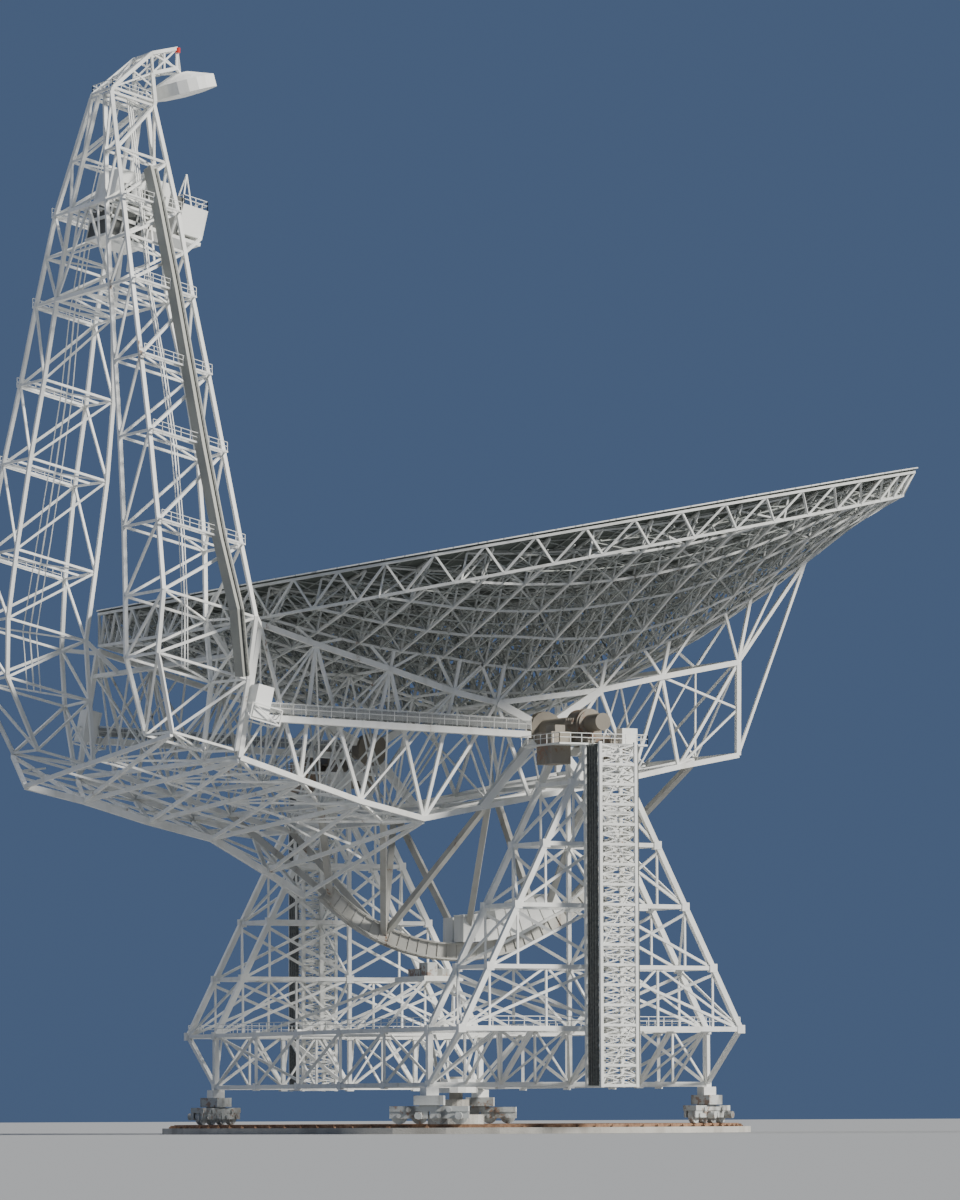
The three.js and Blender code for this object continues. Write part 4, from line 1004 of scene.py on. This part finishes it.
# Head: the frame that leans in over the legs and holds the small mirror, with its braces, a
# walkway rail and a red obstruction lamp at its highest corner.
HEAD_ROWS = [
    ((-13.6, 57.95), (-8, 57.95), 2.8),
    ((-9.6, 63.5), (-9, 61.2), 2.5),
    ((-6.5, 65.1), (-6, 62.8), 2.3),
]
rings = []
for outer, inner, half in HEAD_ROWS:
    rings.append([joint(outer, half), joint(inner, half), joint(inner, -half), joint(outer, -half)])
bars = []
near_top, far_top = (leg_corners(LEG_UPS[-1], side) for side in (1, -1))
feet = [near_top[0], near_top[1], far_top[1], far_top[0]]
for c in range(4):
    bars += chain([feet[c], *(ring[c] for ring in rings)], 0.42)
bars += [(ring[c - 1], ring[c], 0.28) for ring in rings for c in range(4)]
mirror_back = tipped(-4.5, 0, 63)
bars += [(corner, mirror_back, 0.26) for corner in rings[2]]
for low, high in zip(rings, rings[1:]):
    for c in range(4):
        bars += [(low[c - 1], high[c], 0.2), (low[c], high[c - 1], 0.2)]
        bars.append((halfway(low[c - 1], high[c - 1]), halfway(low[c], high[c]), 0.18))
bars += [(rings[0][0], rings[0][2], 0.24), (rings[0][1], rings[0][3], 0.24)]
bars += handrail([rings[0][k] for k in (0, 1, 2, 3, 0)], 1.2, 1.0, 0.06)
head = show("head_frame", *struts(bars), "dish", "white_steel", white_steel)
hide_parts("feed_head_frame")
lamp_red = Coat("lamp_red")
glow = lamp_red.noise(20.0, 3.0)
lamp_red.shade(Base_Color=lamp_red.blend(glow, (0.55, 0.03, 0.02), (0.7, 0.06, 0.04)), Roughness=0.25)
x, y, z = tipped(-6.4, 2.3, 65.0)
lamp = drum((x, y, z - 0.1), 0.32, 0.6, "z", 16)
show("obstruction_lamp", *lamp, "dish", "white_steel", lamp_red.material)


# Lattice that stays as the solid model has it: trusses, frames, shafts and ties of welded square
# tube. It gets the same white paint as its finer bracing, and so do the landings and the mirror.
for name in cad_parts:
    if name.endswith(("_truss", "_frame", "_bracing", "_lift_shaft")):
        dress(name, white_steel)
for name in ("feed_leg_ties", "subreflector", "near_lift_landing", "far_lift_landing"):
    dress(name, white_steel)


# Stage: a plain pale floor, a warm sun, a weak wide one on the other side, and the camera at the
# photograph's place with its lens.
floor_coat = Coat("pale_floor")
floor_coat.shade(Base_Color=(0.28, 0.285, 0.29), Roughness=0.9)
floor_mesh = bpy.data.meshes.new("floor")
FLOOR_REACH = 400
corners = [(x * FLOOR_REACH, y * FLOOR_REACH, 0) for x, y in ((-1, -1), (1, -1), (1, 1), (-1, 1))]
floor_mesh.from_pydata(corners, [], [[0, 1, 2, 3]])
floor_mesh.materials.append(floor_coat.material)
floor = bpy.data.objects.new("floor", floor_mesh)
bpy.context.scene.collection.objects.link(floor)

world = bpy.data.worlds.new("studio")
bpy.context.scene.world = world
world.use_nodes = True
backdrop = world.node_tree.nodes["Background"]
backdrop.inputs["Color"].default_value = (0.07, 0.112, 0.205, 1)
backdrop.inputs["Strength"].default_value = 1.0

LAMPS = (
    ("key", 6.2, (1, 0.97, 0.9), 9, (54, 41)),
    ("fill_from_behind", 1.1, (1, 0.98, 0.95), 40, (32, 200)),
)
for name, energy, tint, softness, (lower, swing) in LAMPS:
    lamp_light = bpy.data.lights.new(name, "SUN")
    lamp_light.energy = energy
    lamp_light.color = tint
    lamp_light.angle = math.radians(softness)
    lamp_stand = bpy.data.objects.new(name, lamp_light)
    lamp_stand.rotation_euler = (math.radians(lower), 0, math.radians(swing))
    bpy.context.scene.collection.objects.link(lamp_stand)

PHOTO_HEIGHT, FOCAL_PIXELS, SENSOR = 1200, 6002.7, 36
DISTANCE, EYE_HEIGHT = 71.84, 0.17
camera_data = bpy.data.cameras.new("photograph")
camera_data.sensor_fit = "VERTICAL"
camera_data.sensor_height = SENSOR
camera_data.lens = FOCAL_PIXELS * SENSOR / PHOTO_HEIGHT
camera_data.clip_end = 2000
camera = bpy.data.objects.new("photograph", camera_data)
turn, heading, pitch, roll = (math.radians(v) for v in (28.156, 28.404, 4.939, -0.229))
ahead = np.array([math.sin(heading) * math.cos(pitch), math.cos(heading) * math.cos(pitch), math.sin(pitch)])
level = np.array([math.cos(heading), -math.sin(heading), 0])
above = np.cross(level, ahead)
right = math.cos(roll) * level + math.sin(roll) * above
above = math.cos(roll) * above - math.sin(roll) * level
spot = (-DISTANCE * math.sin(turn), -DISTANCE * math.cos(turn), EYE_HEIGHT)
axes = mathutils.Matrix((right, above, -ahead)).transposed().to_4x4()
camera.matrix_world = mathutils.Matrix.Translation(spot) @ axes
bpy.context.scene.collection.objects.link(camera)
bpy.context.scene.camera = camera
